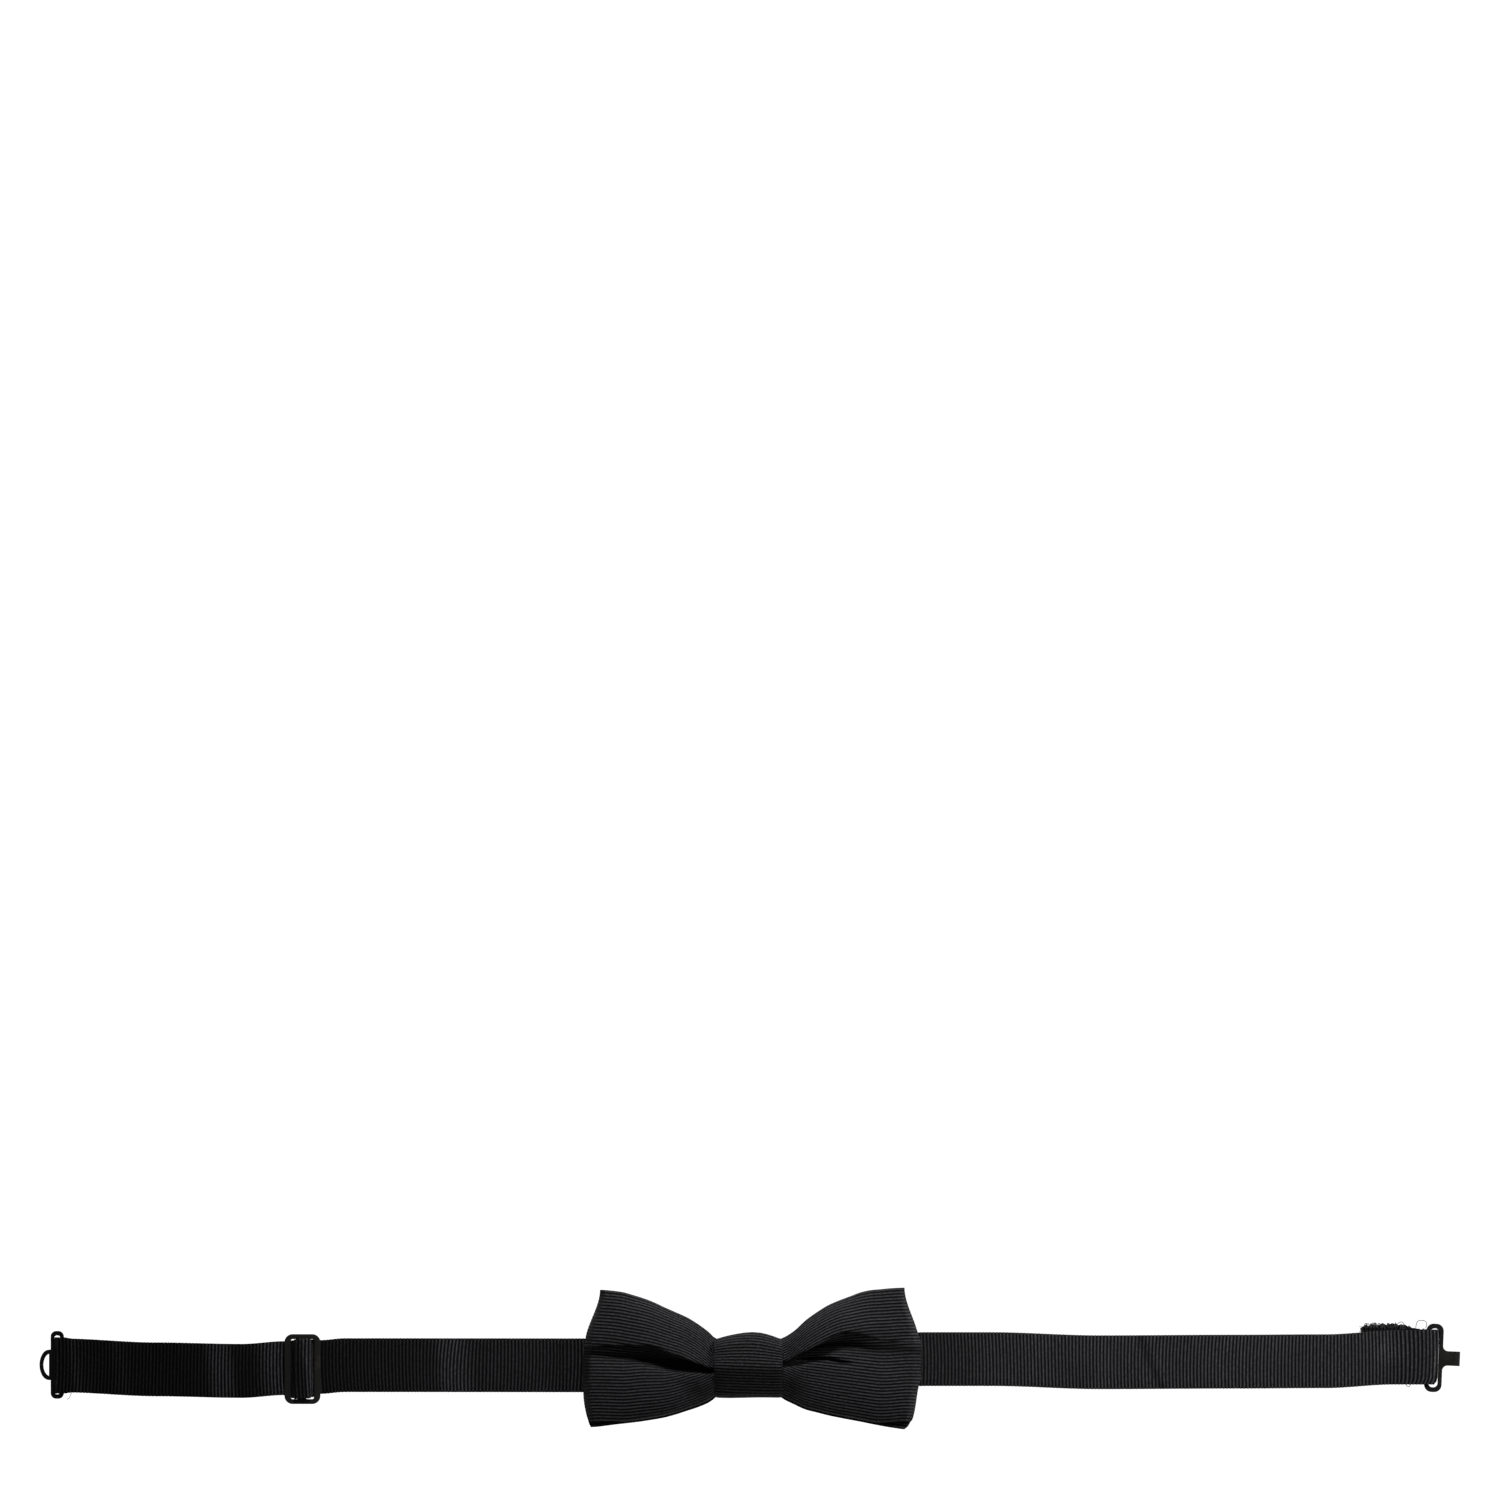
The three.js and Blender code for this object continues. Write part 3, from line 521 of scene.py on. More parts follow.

# ---------------------------------------------------------------- bow

# Heights across a wing, against the distance from the knot's middle. The valley is the deep
# crease, the ridge is the folded edge that hangs over it, and the lobe is the swell below the
# crease. The tuck is how far the valley runs up under the ridge, and the rake is how far the
# wing's end slants in. A dent, or a patch of painted shade on the front, is (x, y, half width,
# half height, depth). Bare and back_rake are how much of the back layer shows at the lower corner.
WINGS = {
    -1: dict(
        tip=LEFT_TIP,
        top=curve([(0, 8.4), (9, 8.4), (11.4, 9.4), (12.7, 10.7), (16.7, 13.7), (20.6, 16),
                   (24.6, 17.7), (28.5, 19.3), (32.5, 21), (36.5, 22.3), (40.4, 23.3),
                   (44.4, 24.2), (49, 24.7), (54.6, 25)]),
        bottom=curve([(0, -8.4), (9, -8.4), (11.4, -10.2), (12.7, -11.2), (16.7, -13),
                      (20.6, -14.3), (24.6, -15.6), (28.5, -16.6), (32.5, -17.3), (36.5, -17.9),
                      (44.4, -18.8), (54.6, -19.8)]),
        valley=curve([(0, -1.8), (11.7, -1.8), (18.3, -1.4), (26.2, -1.0), (31.8, 0.4),
                      (37.8, 1.6), (44.4, 2.2), (54.6, 3.2)]),
        ridge=curve([(0, -0.6), (11.7, -0.6), (16, 1.0), (20, 2.4), (24.3, 4.2), (34.2, 7.3),
                     (41.7, 7.3), (54.6, 6.9)]),
        ridge_z=curve([(0, 3.2), (11.4, 3.5), (16, 5.2), (24, 6.2), (34, 6.3), (42, 5.2),
                       (54.6, 3.9)]),
        valley_z=curve([(0, 0.5), (16, 0.4), (24, 0.5), (34, 1.1), (42, 2.1), (54.6, 2.5)]),
        lobe_z=curve([(0, 2.2), (11.4, 2.6), (16, 3.2), (24, 3.8), (34, 4.1), (42, 4.0),
                      (54.6, 3.5)]),
        tuck=curve([(0, 7), (12, 7), (16, 5.2), (24, 2.4), (34, 0.5), (42, 0.2), (54.6, 0.2)]),
        rake=curve([(-20, 2.8), (-17, 1.3), (-9.4, 0.1), (0, 0), (8.4, 0.7), (25, 5.6)]),
        dents=[(19.6, -7.1, 5, 2.4, 0.5)],
        bare=1.4,
        back_rake=(0.45, 0.25),
        shade_patches=[(17, -8.6, 5.5, 2.6, 0.7), (48, 6, 9, 3, 0.4)],
    ),
    1: dict(
        tip=RIGHT_TIP,
        top=curve([(0, 8.4), (9, 8.4), (11.4, 9.2), (15, 11.4), (19, 15), (22.9, 17.7),
                   (26.9, 20), (30.9, 21.6), (34.8, 22.9), (38.8, 24.2), (42.7, 24.9),
                   (46.7, 25.2), (50.7, 25.5), (56.9, 25.7)]),
        bottom=curve([(0, -8.4), (9, -8.4), (11.4, -10.2), (15, -12), (19, -13.8), (22.9, -14.8),
                      (26.9, -15.8), (30.9, -16.6), (34.8, -17.3), (38.8, -18), (42.7, -18.7),
                      (50.7, -19.9), (56.9, -20.5)]),
        valley=curve([(0, 0.4), (11.4, 0.4), (16, 1.0), (21.3, 3.0), (25.2, 4.4), (31.2, 5.6),
                      (35.1, 5.5), (39.1, 5.0), (45, 4.6), (56.9, 4.4)]),
        ridge=curve([(0, 1.4), (11.4, 1.7), (17.2, 4.4), (23.3, 7.6), (29.2, 10.8), (31.2, 11.6),
                     (35.1, 11.5), (39.1, 10.4), (45, 8.9), (56.9, 8.2)]),
        ridge_z=curve([(0, 3.2), (11.4, 3.5), (17, 5.2), (23, 6.1), (31, 6.3), (39, 5.0),
                       (45, 4.2), (56.9, 3.7)]),
        valley_z=curve([(0, 0.5), (17, 0.4), (25, 0.6), (31, 1.6), (39, 2.8), (45, 3.6),
                        (56.9, 3.5)]),
        lobe_z=curve([(0, 2.2), (11.4, 2.6), (16, 3.3), (24, 4.1), (34, 4.5), (42, 4.3),
                      (56.9, 3.6)]),
        tuck=curve([(0, 7), (12, 7), (17, 5.0), (23, 2.6), (31, 0.5), (39, 0.2), (56.9, 0.2)]),
        rake=curve([(-20.6, 4.2), (-17.3, 2.6), (-6.8, 0.7), (-4, 0), (7, 0), (11.4, 1.2),
                    (25.9, 5.4)]),
        dents=[],
        bare=2.0,
        back_rake=(0.8, 0.6),
        shade_patches=[(14, -7.5, 4.5, 4.5, 0.7), (38, 9.8, 6, 2.2, 0.5), (47, 7.5, 5, 2.5, 0.4)],
    ),
}
BOW_RIBS = 42
BOW_ROWS = BOW_RIBS * RIB_STEPS + 1
EDGE_Z = curve([(0, 0.9), (30, 1.0), (57, 1.5)])  # height of a wing's long edges
TIP_ROLL = 2.6  # length over which a wing's end rolls down
TIP_COLUMNS = 14
TIP_CLOSE = 4  # the last columns crowd together over this length
BACK_SHORT = 0.8  # the back layer's tips stop this much sooner
BACK_LOW = 0.9  # and it lies this much lower
BACK_ROLL = 1.6
CANVAS_SHORT = 2
CANVAS_ROWS = 41
CANVAS_HALF_THICK = 0.18


def middle_z(x, tip):
    u = np.clip((np.abs(x) - KNOT_HALF_WIDTH) / (tip - KNOT_HALF_WIDTH), 0, 1)
    return BOW_MIDDLE_Z - WING_DROOP * u * u


def section(wing, x):
    """The front layer's cross-section at a distance from the knot, bottom edge to top edge."""
    bottom = wing["bottom"](x) + wing["bare"] * smooth(x, wing["tip"] - 15, wing["tip"] - 1)
    top = wing["top"](x)
    valley, ridge = wing["valley"](x), wing["ridge"](x)
    vz, rz, cz, ez = wing["valley_z"](x), wing["ridge_z"](x), wing["lobe_z"](x), EDGE_Z(x)
    tuck = wing["tuck"](x)
    pulled = 1 - smooth(x, 13, 27)  # the knot draws the lobe in beside it
    return np.array([
        (bottom, ez),
        (mix(bottom, valley, 0.1), mix(ez, cz, mix(0.45, 0.2, pulled))),
        (mix(bottom, valley, 0.3), mix(ez, cz, mix(0.82, 0.48, pulled))),
        (mix(bottom, valley, 0.62), mix(ez, cz, mix(1.0, 0.9, pulled))),
        (mix(bottom, valley, 0.88), mix(vz, cz, mix(0.86, 1.0, pulled))),
        (valley, mix(vz, cz, 0.3)),
        (valley + tuck + 0.3, vz),
        (mix(valley, ridge, 0.5) + 0.45 * tuck, mix(vz, rz, 0.5)),
        (mix(valley, ridge, 0.86), mix(vz, rz, 0.82)),
        (ridge, rz),
        (mix(ridge, top, 0.4), mix(rz, ez, 0.16)),
        (mix(ridge, top, 0.75), mix(rz, ez, 0.48)),
        (top, ez),
    ])


def through(nodes_yz, count):
    """Evenly spaced points on a smooth line through a section's nodes."""
    p = np.vstack([2 * nodes_yz[0] - nodes_yz[1], nodes_yz, 2 * nodes_yz[-1] - nodes_yz[-2]])
    t = np.linspace(0, 1, 16, endpoint=False)[:, None]
    dense = []
    for a, b, c, d in zip(p[:-3], p[1:-2], p[2:-1], p[3:]):
        dense.append(0.5 * (2 * b + (c - a) * t + (2 * a - 5 * b + 4 * c - d) * t**2
                            + (3 * b - a - 3 * c + d) * t**3))
    dense = np.vstack(dense + [p[-2][None]])
    run = np.r_[0, np.cumsum(np.linalg.norm(np.diff(dense, axis=0), axis=1))]
    s = np.linspace(0, run[-1], count)
    return np.stack([np.interp(s, run, dense[:, k]) for k in (0, 1)], 1)


def wing_columns(tip, count):
    inner = np.linspace(0, tip - TIP_CLOSE, count)
    crowded = np.sin(np.linspace(0, 1, TIP_COLUMNS)[1:] * math.pi / 2)
    return np.r_[inner, tip - TIP_CLOSE * (1 - crowded)]


def joined(halves):
    """One grid out of the two wings' grids, which share their first column."""
    left, right = halves
    return np.concatenate([left[:0:-1], right])


def ribbed_face(face, facing, sunk):
    """Raises ribs along the wings' face, and gives the face and its cloth coordinates.

    facing is 1 for a face that looks to +Z, and sunk is the share of a rib's depth below it.
    """
    ribs = np.linspace(0, BOW_RIBS, BOW_ROWS)
    crown = np.abs(np.sin(np.pi * ribs))[None, :] * np.ones((len(face), 1))
    normal = grid_normals(face)
    if normal[..., 2].mean() * facing < 0:
        normal = -normal
    room = np.linalg.norm(np.gradient(face, axis=1), axis=2) / (BOW_PITCH / RIB_STEPS)
    face = face + normal * (RIB_DEPTH * (crown - sunk) * np.clip(room, 0, 1))[..., None]
    across = np.repeat((ribs * BOW_PITCH)[None, :], len(face), 0)
    return face, np.stack([face[..., 0], across, crown], -1)


def front_painted_light(wing, side, x, y, z):
    """Painted shade on the ribs: darker in the valley and in patches where shade falls."""
    hollow, swell = wing["valley_z"](x), wing["lobe_z"](x)
    painted_light = mix(0.3, 1, smooth((z - hollow) / (swell - hollow), 0.05, 0.95))
    painted_light = mix(painted_light, 1, (y < wing["valley"](x) - 4) | (y > wing["ridge"](x)))
    for px, py, wx, wy, depth in wing["shade_patches"]:
        painted_light = painted_light * (1 - depth * hump(x, px, wx) * hump(y, py, wy))
    if side < 0:  # painted shade in a strip down the left wing's end, which turns away from the light
        painted_light = painted_light * mix(0.18, 1, smooth(wing["tip"] - x, 1.6, 2.6))
    return painted_light


def bow_front():
    halves = []
    v = np.linspace(0, 1, BOW_ROWS)[None, :]
    for side, wing in WINGS.items():
        xs = wing_columns(wing["tip"], 62)
        yz = np.array([through(section(wing, x), BOW_ROWS) for x in xs])
        x = np.repeat(xs[:, None], BOW_ROWS, 1)
        u = x / wing["tip"]
        y, z = yz[..., 0], yz[..., 1]
        for dx, dy, wx, wy, depth in wing["dents"]:
            z = z - depth * hump(x, dx, wx) * hump(y, dy, wy)
        if side > 0:  # the right wing has a second, shorter groove below its valley
            groove_y = mix(1.4, 0.4, smooth(x, 18, 34)) + 1.0 * hump(x, 26, 5)
            reach = smooth(x, 13, 20) * (1 - smooth(x, 27, 37))
            z = z - 2.1 * reach * hump(y, groove_y, 0.75)
        painted_light = front_painted_light(wing, side, x, y, z)
        fold = np.clip((wing["tip"] - x) / TIP_ROLL, 0, 1)
        z = z * mix(0.12, 1, 1 - (1 - fold) ** 1.35)
        base = middle_z(x, wing["tip"]) + LAYER_FACE
        outer = np.stack([side * (x - wing["rake"](y) * u**3), y, base + z], -1)
        y_base = mix(y[:, :1], y[:, -1:], v)
        inner = np.stack([side * (x - wing["rake"](y_base) * u**3), y_base, base], -1)
        halves.append((outer, inner, painted_light))
    outer, inner, painted_light = (joined(pair) for pair in zip(*halves))
    outer, cloth = ribbed_face(outer, 1, 0.6)
    # Painted shade darkens the ribs' crests in the valley, in the shaded patches and down the left
    # tip.
    cloth[..., 2] *= painted_light ** (1 / CROWN_POWER)
    return shell_object("bow_front_cloth", outer, inner, BOW_CLOTH, cloth)


def bow_back():
    halves = []
    v = np.linspace(0, 1, BOW_ROWS)[None, :]
    for side, wing in WINGS.items():
        tip = wing["tip"] - BACK_SHORT
        x = np.repeat(wing_columns(tip, 54)[:, None], BOW_ROWS, 1)
        u = x / tip
        y = mix(wing["bottom"](x) - BACK_LOW + 0.3 * u, wing["top"](x) - BACK_LOW - 0.6 * u, v)
        dome = 1 - np.abs(2 * v - 1) ** 4
        pleat = 0.55 * hump(y, 0.5, 1.8) * (1 - smooth(x, 14, 40))
        swell = 0.25 * np.sin(v * 9 + side) * smooth(x, 12, 30)
        depth = (mix(2.1, 2.5, smooth(x, 11, 25)) + swell) * mix(0.35, 1, dome) - pleat
        fold = np.clip((tip - x) / BACK_ROLL, 0, 1)
        roll = np.sqrt(np.clip(1 - (1 - fold) ** 2, 0, 1))
        depth = depth * mix(0.15, 1, roll)
        corner = 2.2 * np.clip(np.abs(2 * v - 1) - 0.93, 0, 1) ** 2 / 0.07**2
        upper = smooth(y, -5, 5)
        raked, rounded = wing["back_rake"]
        slant = wing["rake"](y) * mix(raked, 0.95, upper) + corner * mix(rounded, 0.6, upper)
        x_raked = side * (x - slant * u**3)
        base = middle_z(x, wing["tip"]) - LAYER_FACE
        halves.append((np.stack([x_raked, y, base - depth], -1),
                       np.stack([x_raked, y, base], -1)))
    outer, inner = (joined(pair) for pair in zip(*halves))
    outer, cloth = ribbed_face(outer, -1, 1)
    return shell_object("bow_back_cloth", outer, inner, BOW_CLOTH, cloth)


def bow_interlining():
    halves = []
    v = np.linspace(0, 1, CANVAS_ROWS)[None, :]
    for side, wing in WINGS.items():
        tip = wing["tip"] - CANVAS_SHORT
        x = np.repeat(wing_columns(tip, 30)[:, None], CANVAS_ROWS, 1)
        u = x / tip
        y = mix(wing["bottom"](x) + 3.4 * u, wing["top"](x) - 1.9 * u, v)
        z = middle_z(x, wing["tip"]) + 0.05 * np.sin(x * 0.9 + y * 0.4)
        x_raked = side * (x - wing["rake"](y) * u**3)
        halves.append((np.stack([x_raked, y, z + CANVAS_HALF_THICK], -1),
                       np.stack([x_raked, y, z - CANVAS_HALF_THICK], -1)))
    outer, inner = (joined(pair) for pair in zip(*halves))
    return shell_object("bow_canvas", outer, inner, CANVAS)


# ---------------------------------------------------------------- knot

KNOT_WRAP_THICK = 0.72
WRAP_LOW_Z = 0.38  # middle of the wrap's outer end, behind the knot
WRAP_LAP = 0.78  # the inner end lies this much higher
TAPE_HALF_WIDTH, TAPE_HALF_THICK = 4.5, 0.2
TAPE_MIDDLE = np.array([0, 6.8])  # (y, z) of the loop's middle
TAPE_REACH = 6  # about how far the tape lies from it
WADDING_HALF_LENGTH, WADDING_HALF_WIDTH, WADDING_HALF_THICK = 10, 5.6, 0.17


def knot_line():
    """The wrap's middle line in (y, z): from its inner end round to its lapped outer end."""
    front = [(10.35, 6.0), (10.2, 9.8), (7.4, 11.95), (-0.4, 12.4), (-9.0, 8.4), (-10.3, 5.8)]
    low, upper = WRAP_LOW_Z, WRAP_LOW_Z + WRAP_LAP
    back_in = [(-6, upper), (8.6, upper), (10.0, upper + 1.3)]
    back_out = [(-10.0, low + 1.4), (-8.7, low), (4, low)]
    return back_in + front + back_out


def knot_place(grid):
    """Turns (along y, aside x, z) into (x, y, z), with an arched top edge and dipped sides."""
    y, x, z = grid[..., 0], grid[..., 1], grid[..., 2]
    rim = np.abs(x / KNOT_HALF_WIDTH)
    arch = 0.2 * rim**2.2 - 0.03 * hump(x, 2, 5)
    y = np.where(y > 0, y * (1 - arch), y * (1 + 0.015 * (1 - rim**2)))
    dip = (0.75 * rim**3 + 0.12 * np.sin(1.3 * x + 0.4 * y) * rim) * smooth(z, 6, 11)
    y = y + 0.12 * np.sin(x / 3.4 + 0.6)
    return np.stack([x, y, z - dip], -1)


def knot_painted_light(x, y):
    """Painted shade: the knot's lower half is darkened as it turns away from the light, and its
    top edge slightly.
    """
    return mix(0.55, 1, smooth(y, -2.2, 0.2)) * mix(1, 0.8, smooth(y, 6, 11))


def knot_lag(y, x):
    return 0.25 * np.sin(x / 5 + 0.5) + 0.02 * x


def knot_wrap():
    return strip("knot_wrap_cloth", knot_line(), KNOT_HALF_WIDTH - 0.12, KNOT_CLOTH, knot_lag,
                 knot_place, pitch=KNOT_PITCH, radius=1.2, thick=KNOT_WRAP_THICK, painted_light=knot_painted_light)


def binding():
    """Tape that gathers the bow's waist, under the wrap."""
    line = rounded_line([(0, 2.85), (9.0, 2.85), (9.1, 8.4), (6.6, 10.6), (-0.3, 10.9),
                         (-8.2, 7.4), (-9.0, 2.85), (0, 2.85)], 1.6, 0.4)
    x = np.linspace(-TAPE_HALF_WIDTH, TAPE_HALF_WIDTH, 10)

    def ring(offset):
        scaled = TAPE_MIDDLE + (line - TAPE_MIDDLE) * (1 + offset / TAPE_REACH)
        y, z = (np.repeat(scaled[:, k:k + 1], len(x), 1) for k in (0, 1))
        return np.stack([np.repeat(x[None, :], len(line), 0), y, z], -1)

    return shell_object("waist_tape", ring(TAPE_HALF_THICK), ring(-TAPE_HALF_THICK), BINDING_CLOTH)


def knot_pad():
    """Wadding that follows the inside of the knot's front."""
    x = np.linspace(-WADDING_HALF_LENGTH, WADDING_HALF_LENGTH, 21)[:, None] * np.ones(15)
    y = np.linspace(-WADDING_HALF_WIDTH, WADDING_HALF_WIDTH, 15)[None, :] * np.ones((21, 1))
    z = 11.45 - 0.05 * np.clip(y + 0.4, 0, 9) - 0.43 * np.clip(-0.4 - y, 0, 9)
    z = z - 0.5 * (np.abs(x) / 11) ** 3
    upper, lower = (np.stack([x, y, z + rise], -1)
                    for rise in (WADDING_HALF_THICK, -WADDING_HALF_THICK))
    return shell_object("knot_wadding", upper, lower, CANVAS)


# ---------------------------------------------------------------- thread


STITCH_PITCH = 2.4
STITCH_SWING = 0.45  # how far a stitch lies to each side of its seam
SEWING, LOOSE, CURLED, STRAY, FRAYED = 0.16, 0.11, 0.15, 0.1, 0.08  # radii of the threads


def thread_curve(name, points, radius):
    data = bpy.data.curves.new(name, "CURVE")
    data.dimensions = "3D"
    data.bevel_depth = radius * MM
    data.bevel_resolution = 3
    data.use_fill_caps = True
    spline = data.splines.new("NURBS")
    spline.points.add(len(points) - 1)
    for point, place in zip(spline.points, points):
        point.co = (*[c * MM for c in place], 1)
    spline.order_u = 3
    spline.use_endpoint_u = True
    spline.resolution_u = 4
    data.materials.append(THREAD)
    obj = bpy.data.objects.new(name, data)
    bpy.context.scene.collection.objects.link(obj)
    return obj


def stitch_points(half, at):
    """A zigzag from -half to half along a seam; at(along, aside) gives each point."""
    turns = round(2 * half / (STITCH_PITCH / 2))
    points = []
    for i in range(turns + 1):
        along = mix(-half, half, i / turns)
        aside = STITCH_SWING if i % 2 else -STITCH_SWING
        points += [at(along - 0.12, aside), at(along + 0.12, aside)]
    return points


# ---------------------------------------------------------------- placing everything


def put(obj, body, slot, *nodes):
    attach(obj, body)
    if nodes:
        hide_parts(*nodes)
    return obj


front = put(bow_front(), "bow", "grosgrain", "bow_front")
back = put(bow_back(), "bow", "grosgrain", "bow_back")
canvas = put(bow_interlining(), "bow", "interlining", "bow_interlining")
wrap = put(knot_wrap(), "bow", "grosgrain", "knot_wrap")
tape = put(binding(), "bow", "thread", "waist_binding")
wadding = put(knot_pad(), "bow", "interlining", "knot_pad")


STRAND_HALF = RIBBON_HALF - 0.05
LEFT_SEAM = -61.2


def neck_ribbon(name, corners, radius=1.0, place=lay):
    return strip(name, corners, STRAND_HALF, BAND_CLOTH, rib_lag, place, radius=radius,
                 painted_light=ribbon_painted_light)


def blended(obj, a, b, start_x, end_x, *nodes):
    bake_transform(obj)
    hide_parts(*nodes)


inner_left = neck_ribbon("ribbon_left_inner", [
    (0, KNOT_STRAND_Z), (-23.4, KNOT_STRAND_Z), (-57.5, UPPER_Z), (LEFT_SEAM, UPPER_Z)], 6)
blended(inner_left, "bow", "left_band", -51.5, -61, "ribbon_centre")

left_run = neck_ribbon("ribbon_left_run", [
    (LEFT_SEAM, UPPER_Z), (-213.5, UPPER_Z), (-223.9, 2.6), (-228.9, 2.6), (-228.9, TABLE_Z),
    (-223.5, TABLE_Z)], 1.1)
blended(left_run, "left_band", "left_end", -90, -222, "ribbon_left", "ribbon_left_front",
        "ribbon_eye_fold")

under_left = neck_ribbon("ribbon_left_under", [(-223.5, TABLE_Z), (-153.9, TABLE_Z)],
                         place=lay_flat)
blended(under_left, "left_end", "slider", -218, -160, "ribbon_return")

arch = neck_ribbon("ribbon_arch_cloth", [
    (-142.3, 1.3), (-144.5, 1.3), (-144.5, 4.3), (-149.9, 4.3), (-149.9, 1.3), (-152.1, 1.3)], 1.9,
    place=lay_arch)
put(arch, "slider", "grosgrain", "ribbon_arch")

sewn = neck_ribbon("ribbon_sewn_end", [
    (-153.9, TABLE_Z), (-145.5, TABLE_Z), (-145.5, 3.4), (-148.9, 3.4), (-148.9, 1.9)], 0.9,
    place=lay_flat)
put(sewn, "slider", "grosgrain", "ribbon_end_loop")

HOOK_END = (222.1, 1.62)  # where the fold round the hook clasp's bar meets the turned-back end
right = neck_ribbon("ribbon_right_run", [
    (0, KNOT_STRAND_Z), (23.4, KNOT_STRAND_Z), (59.4, 0.9), (80, TABLE_Z), (190.3, TABLE_Z),
    (200.3, UPPER_Z), (212, UPPER_Z), (221.4, 4.08), (225.65, 4.08), (225.65, 1.62), HOOK_END],
    1.2, place=lay_right)
blended(right, "bow", "right_band", 54, 66, "ribbon_right_fold", "ribbon_right",
        "ribbon_right_step", "ribbon_hook_fold")
# The turned-back end takes the darker copy of the grosgrain, which is painted shade.
tail = strip("ribbon_right_tail", [HOOK_END, (221.2, 1.62), (214, TABLE_Z), (TAIL_END_X, TABLE_Z)],
             STRAND_HALF, SHADED_CLOTH, rib_lag, lay_tail)
put(tail, "right_band", "grosgrain")

# Each seam: its thread, body, CAD node, half length, and a point (along, aside) on it.
SEAMS = [
    ("knot_whip_thread", "bow", "knot_stitches", 9.6,
     lambda along, aside: (along, 4.95 + aside, 0.22 + 0.1 * abs(aside))),
    ("slider_thread", "slider", "slider_stitches", 7.5,
     lambda along, aside: (SLIDER_X + aside, along - 0.7, 1.15)),
    ("hook_thread", "right_band", "hook_stitches", 7.5,
     lambda along, aside: (201.35 + aside, along + 2.0, 0.22)),
]
for name, body, cad_node, half, at in SEAMS:
    put(thread_curve(name, stitch_points(half, at), SEWING), body, "thread", cad_node)

LOOPS = [
    [(213.6, 12.6, 0.8), (214.2, 13.9, 1.1), (215.4, 14.5, 1.3), (216.4, 13.8, 1.0),
     (216.6, 12.8, 0.7)],
    [(220.2, 12.4, 0.8), (220.4, 14.4, 1.0), (221.6, 15.0, 1.2), (223.6, 14.7, 1.2),
     (224.0, 13.2, 1.0), (223.4, 12.4, 0.8)],
    [(216.6, -5.6, 0.8), (217.2, -6.9, 1.0), (218.2, -7.1, 1.1), (218.6, -6.0, 0.8)],
]
for i, loop in enumerate(LOOPS):
    put(thread_curve(f"loose_loop_{i}", loop, LOOSE), "right_band", "thread")
stray = [(-223.4, -9.0, 1.2), (-223.9, -10.2, 1.3), (-224.2, -10.9, 1.1), (-224.9, -11.2, 0.9)]
put(thread_curve("stray_thread", stray, STRAY), "left_end", "thread")

FRAYS, CURLS = 24, 26


def spaced(start, end, i, count):
    """The ith of a row of places, each somewhere in its own share of the row."""
    return mix(start, end, (i + RNG.uniform(0, 0.9)) / count)


# Cut yarns stick out of the tail's raw end.
for i in range(FRAYS):
    y = spaced(-5.0, 13.0, i, FRAYS)
    reach = RNG.uniform(0.3, 1.2)
    bend = RNG.uniform(-0.4, 0.4)
    points = [(203.4, y, 0.3), (TAIL_END_X, y, 0.3),
              (TAIL_END_X - 0.6 * reach, y + 0.5 * bend, 0.3),
              (TAIL_END_X - reach, y + bend, RNG.uniform(0.2, 0.5))]
    put(thread_curve(f"fray_{i:02d}", points, FRAYED), "right_band", "thread")
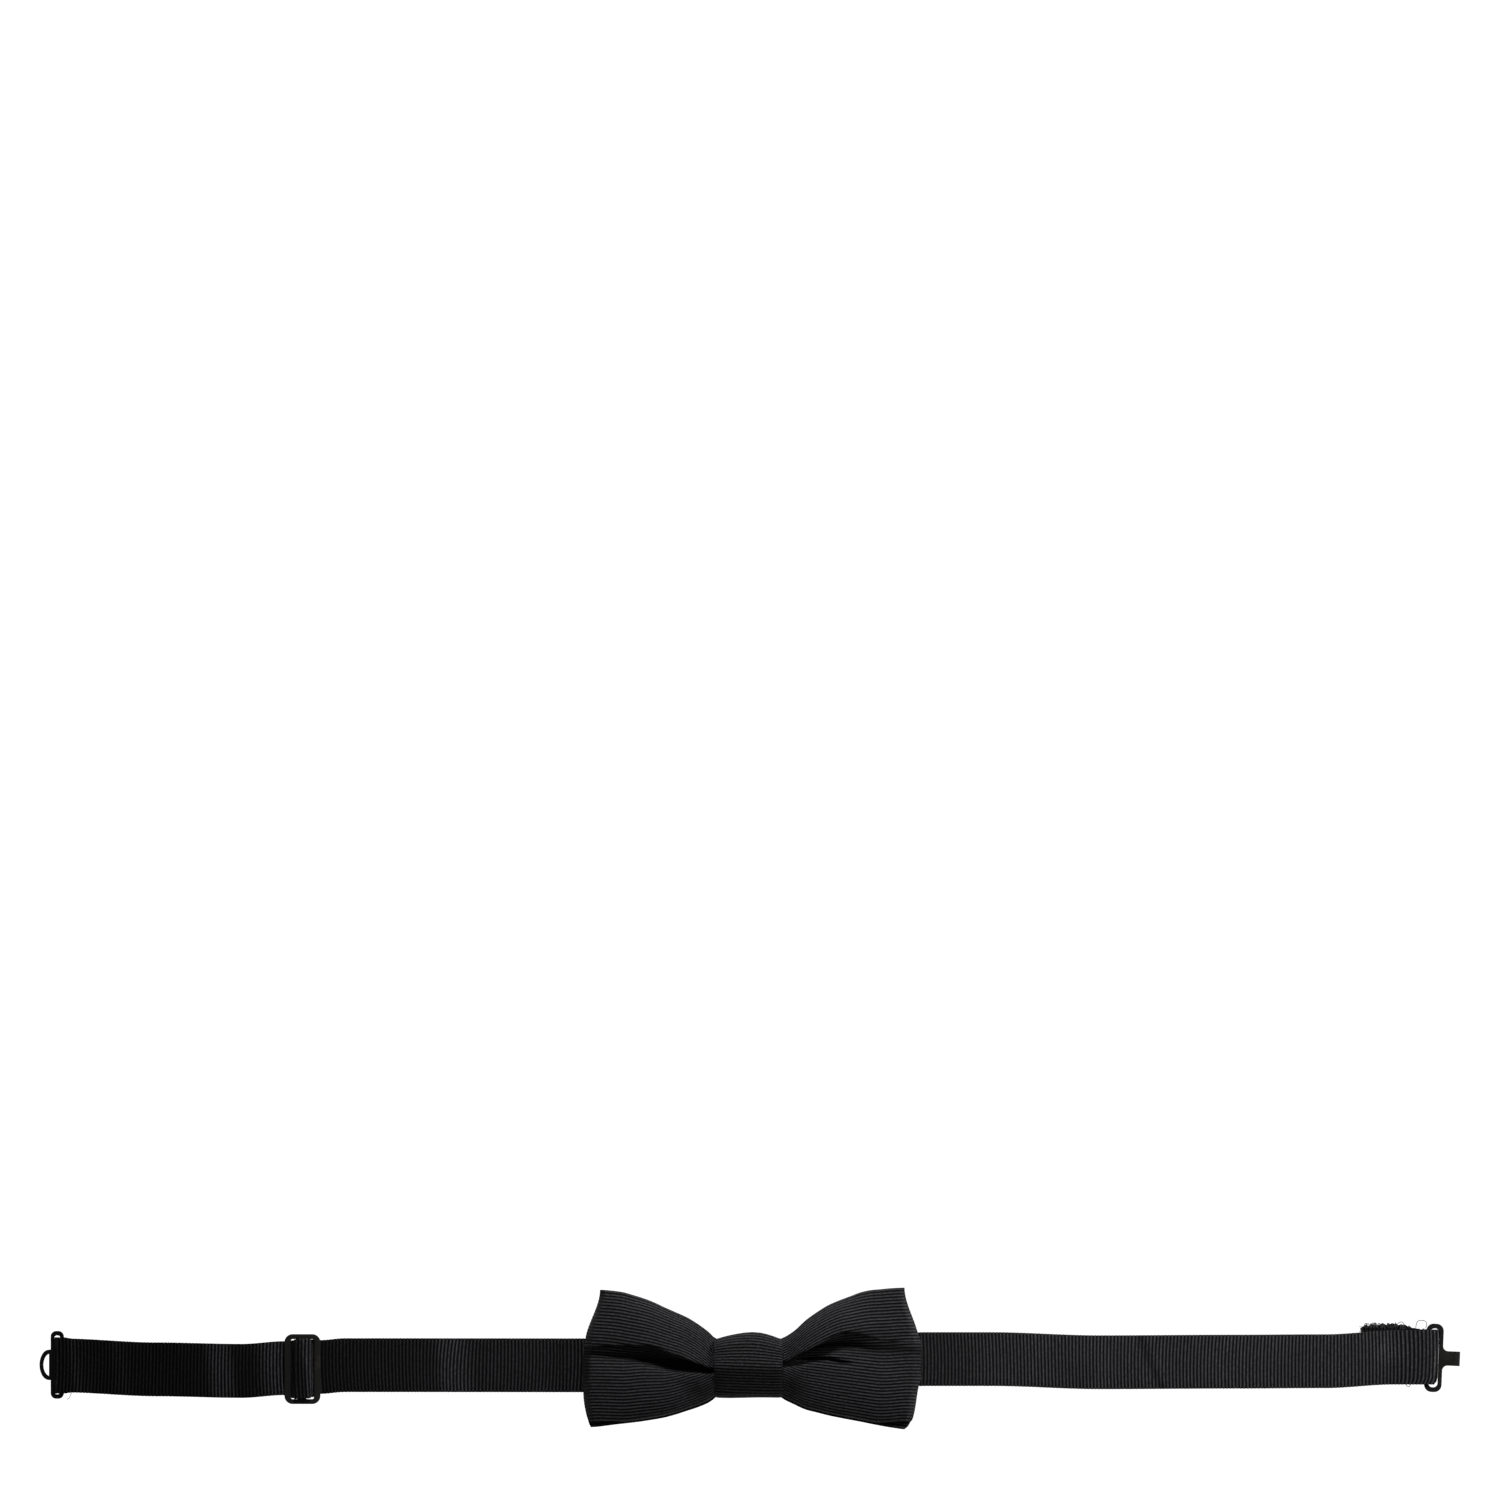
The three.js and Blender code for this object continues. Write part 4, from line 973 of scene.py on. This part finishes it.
# Pulled yarns curl along its upper edge.
for i in range(CURLS):
    x = spaced(203.0, 225.5, i, CURLS)
    y = mix(11.5, 13.5, float(tail_slip(x)))
    lean, rise = RNG.uniform(-0.9, 0.9), RNG.uniform(0.25, 0.8)
    points = [(x, y - 1.2, 0.75), (x + 0.3 * lean, y, 0.9), (x + lean, y + rise, 0.7),
              (x + 1.6 * lean, y + 0.2 * rise, 0.75), (x + 1.8 * lean, y - 1.0, 0.7)]
    put(thread_curve(f"curl_{i:02d}", points, CURLED), "right_band", "thread")

# ---------------------------------------------------------------- metal fittings

for name, metal in METALS.items():
    fitting = bpy.data.objects[name]
    fitting.data.materials.clear()
    fitting.data.materials.append(metal)
    soften = fitting.modifiers.new("soften", "BEVEL")
    soften.width, soften.segments, soften.limit_method = 0.12 * MM, 2, "ANGLE"
    for polygon in fitting.data.polygons:
        polygon.use_smooth = False

# ---------------------------------------------------------------- floor, light, camera (metres)

FLOOR_Z, FLOOR_HALF = -0.6, 30  # far below, so that the object casts no shadow on it
corners = np.array([(-1, -1), (1, -1), (1, 1), (-1, 1)], float) * FLOOR_HALF / MM
floor = mesh_object("floor", np.c_[corners, np.full(4, FLOOR_Z / MM)],
                    np.array([[0, 1, 2, 3]], np.int32), lit_paper("pale_floor"))

world = bpy.data.worlds.new("studio")
world.use_nodes = True
background = world.node_tree.nodes["Background"]
background.inputs["Color"].default_value = (1, 1, 1, 1)
background.inputs["Strength"].default_value = 0.08
bpy.context.scene.world = world


def area_light(name, place, target, size, power, spread):
    """A rectangle of light aimed at target, with its power in watts and spread in degrees."""
    data = bpy.data.lights.new(name, "AREA")
    data.shape = "RECTANGLE"
    data.size, data.size_y = size
    data.energy = power
    data.spread = math.radians(spread)
    light = bpy.data.objects.new(name, data)
    light.location = place
    light.rotation_euler = (Vector(target) - Vector(place)).to_track_quat("-Z", "Y").to_euler()
    bpy.context.scene.collection.objects.link(light)


area_light("key", (-0.02, 0.62, 0.42), (-0.02, 0, 0), (0.2, 0.15), 0.17, 36)
area_light("side", (0.40, 0.20, 0.26), (0.16, 0, 0), (0.15, 0.15), 0.2, 60)

camera_data = bpy.data.cameras.new("camera")
camera_data.type = "ORTHO"
camera_data.ortho_scale = 0.495
camera = bpy.data.objects.new("camera", camera_data)
camera.location = (0.0005, 0.2031, 1.0)
bpy.context.scene.collection.objects.link(camera)
bpy.context.scene.camera = camera
bpy.context.scene.view_settings.view_transform = "Standard"
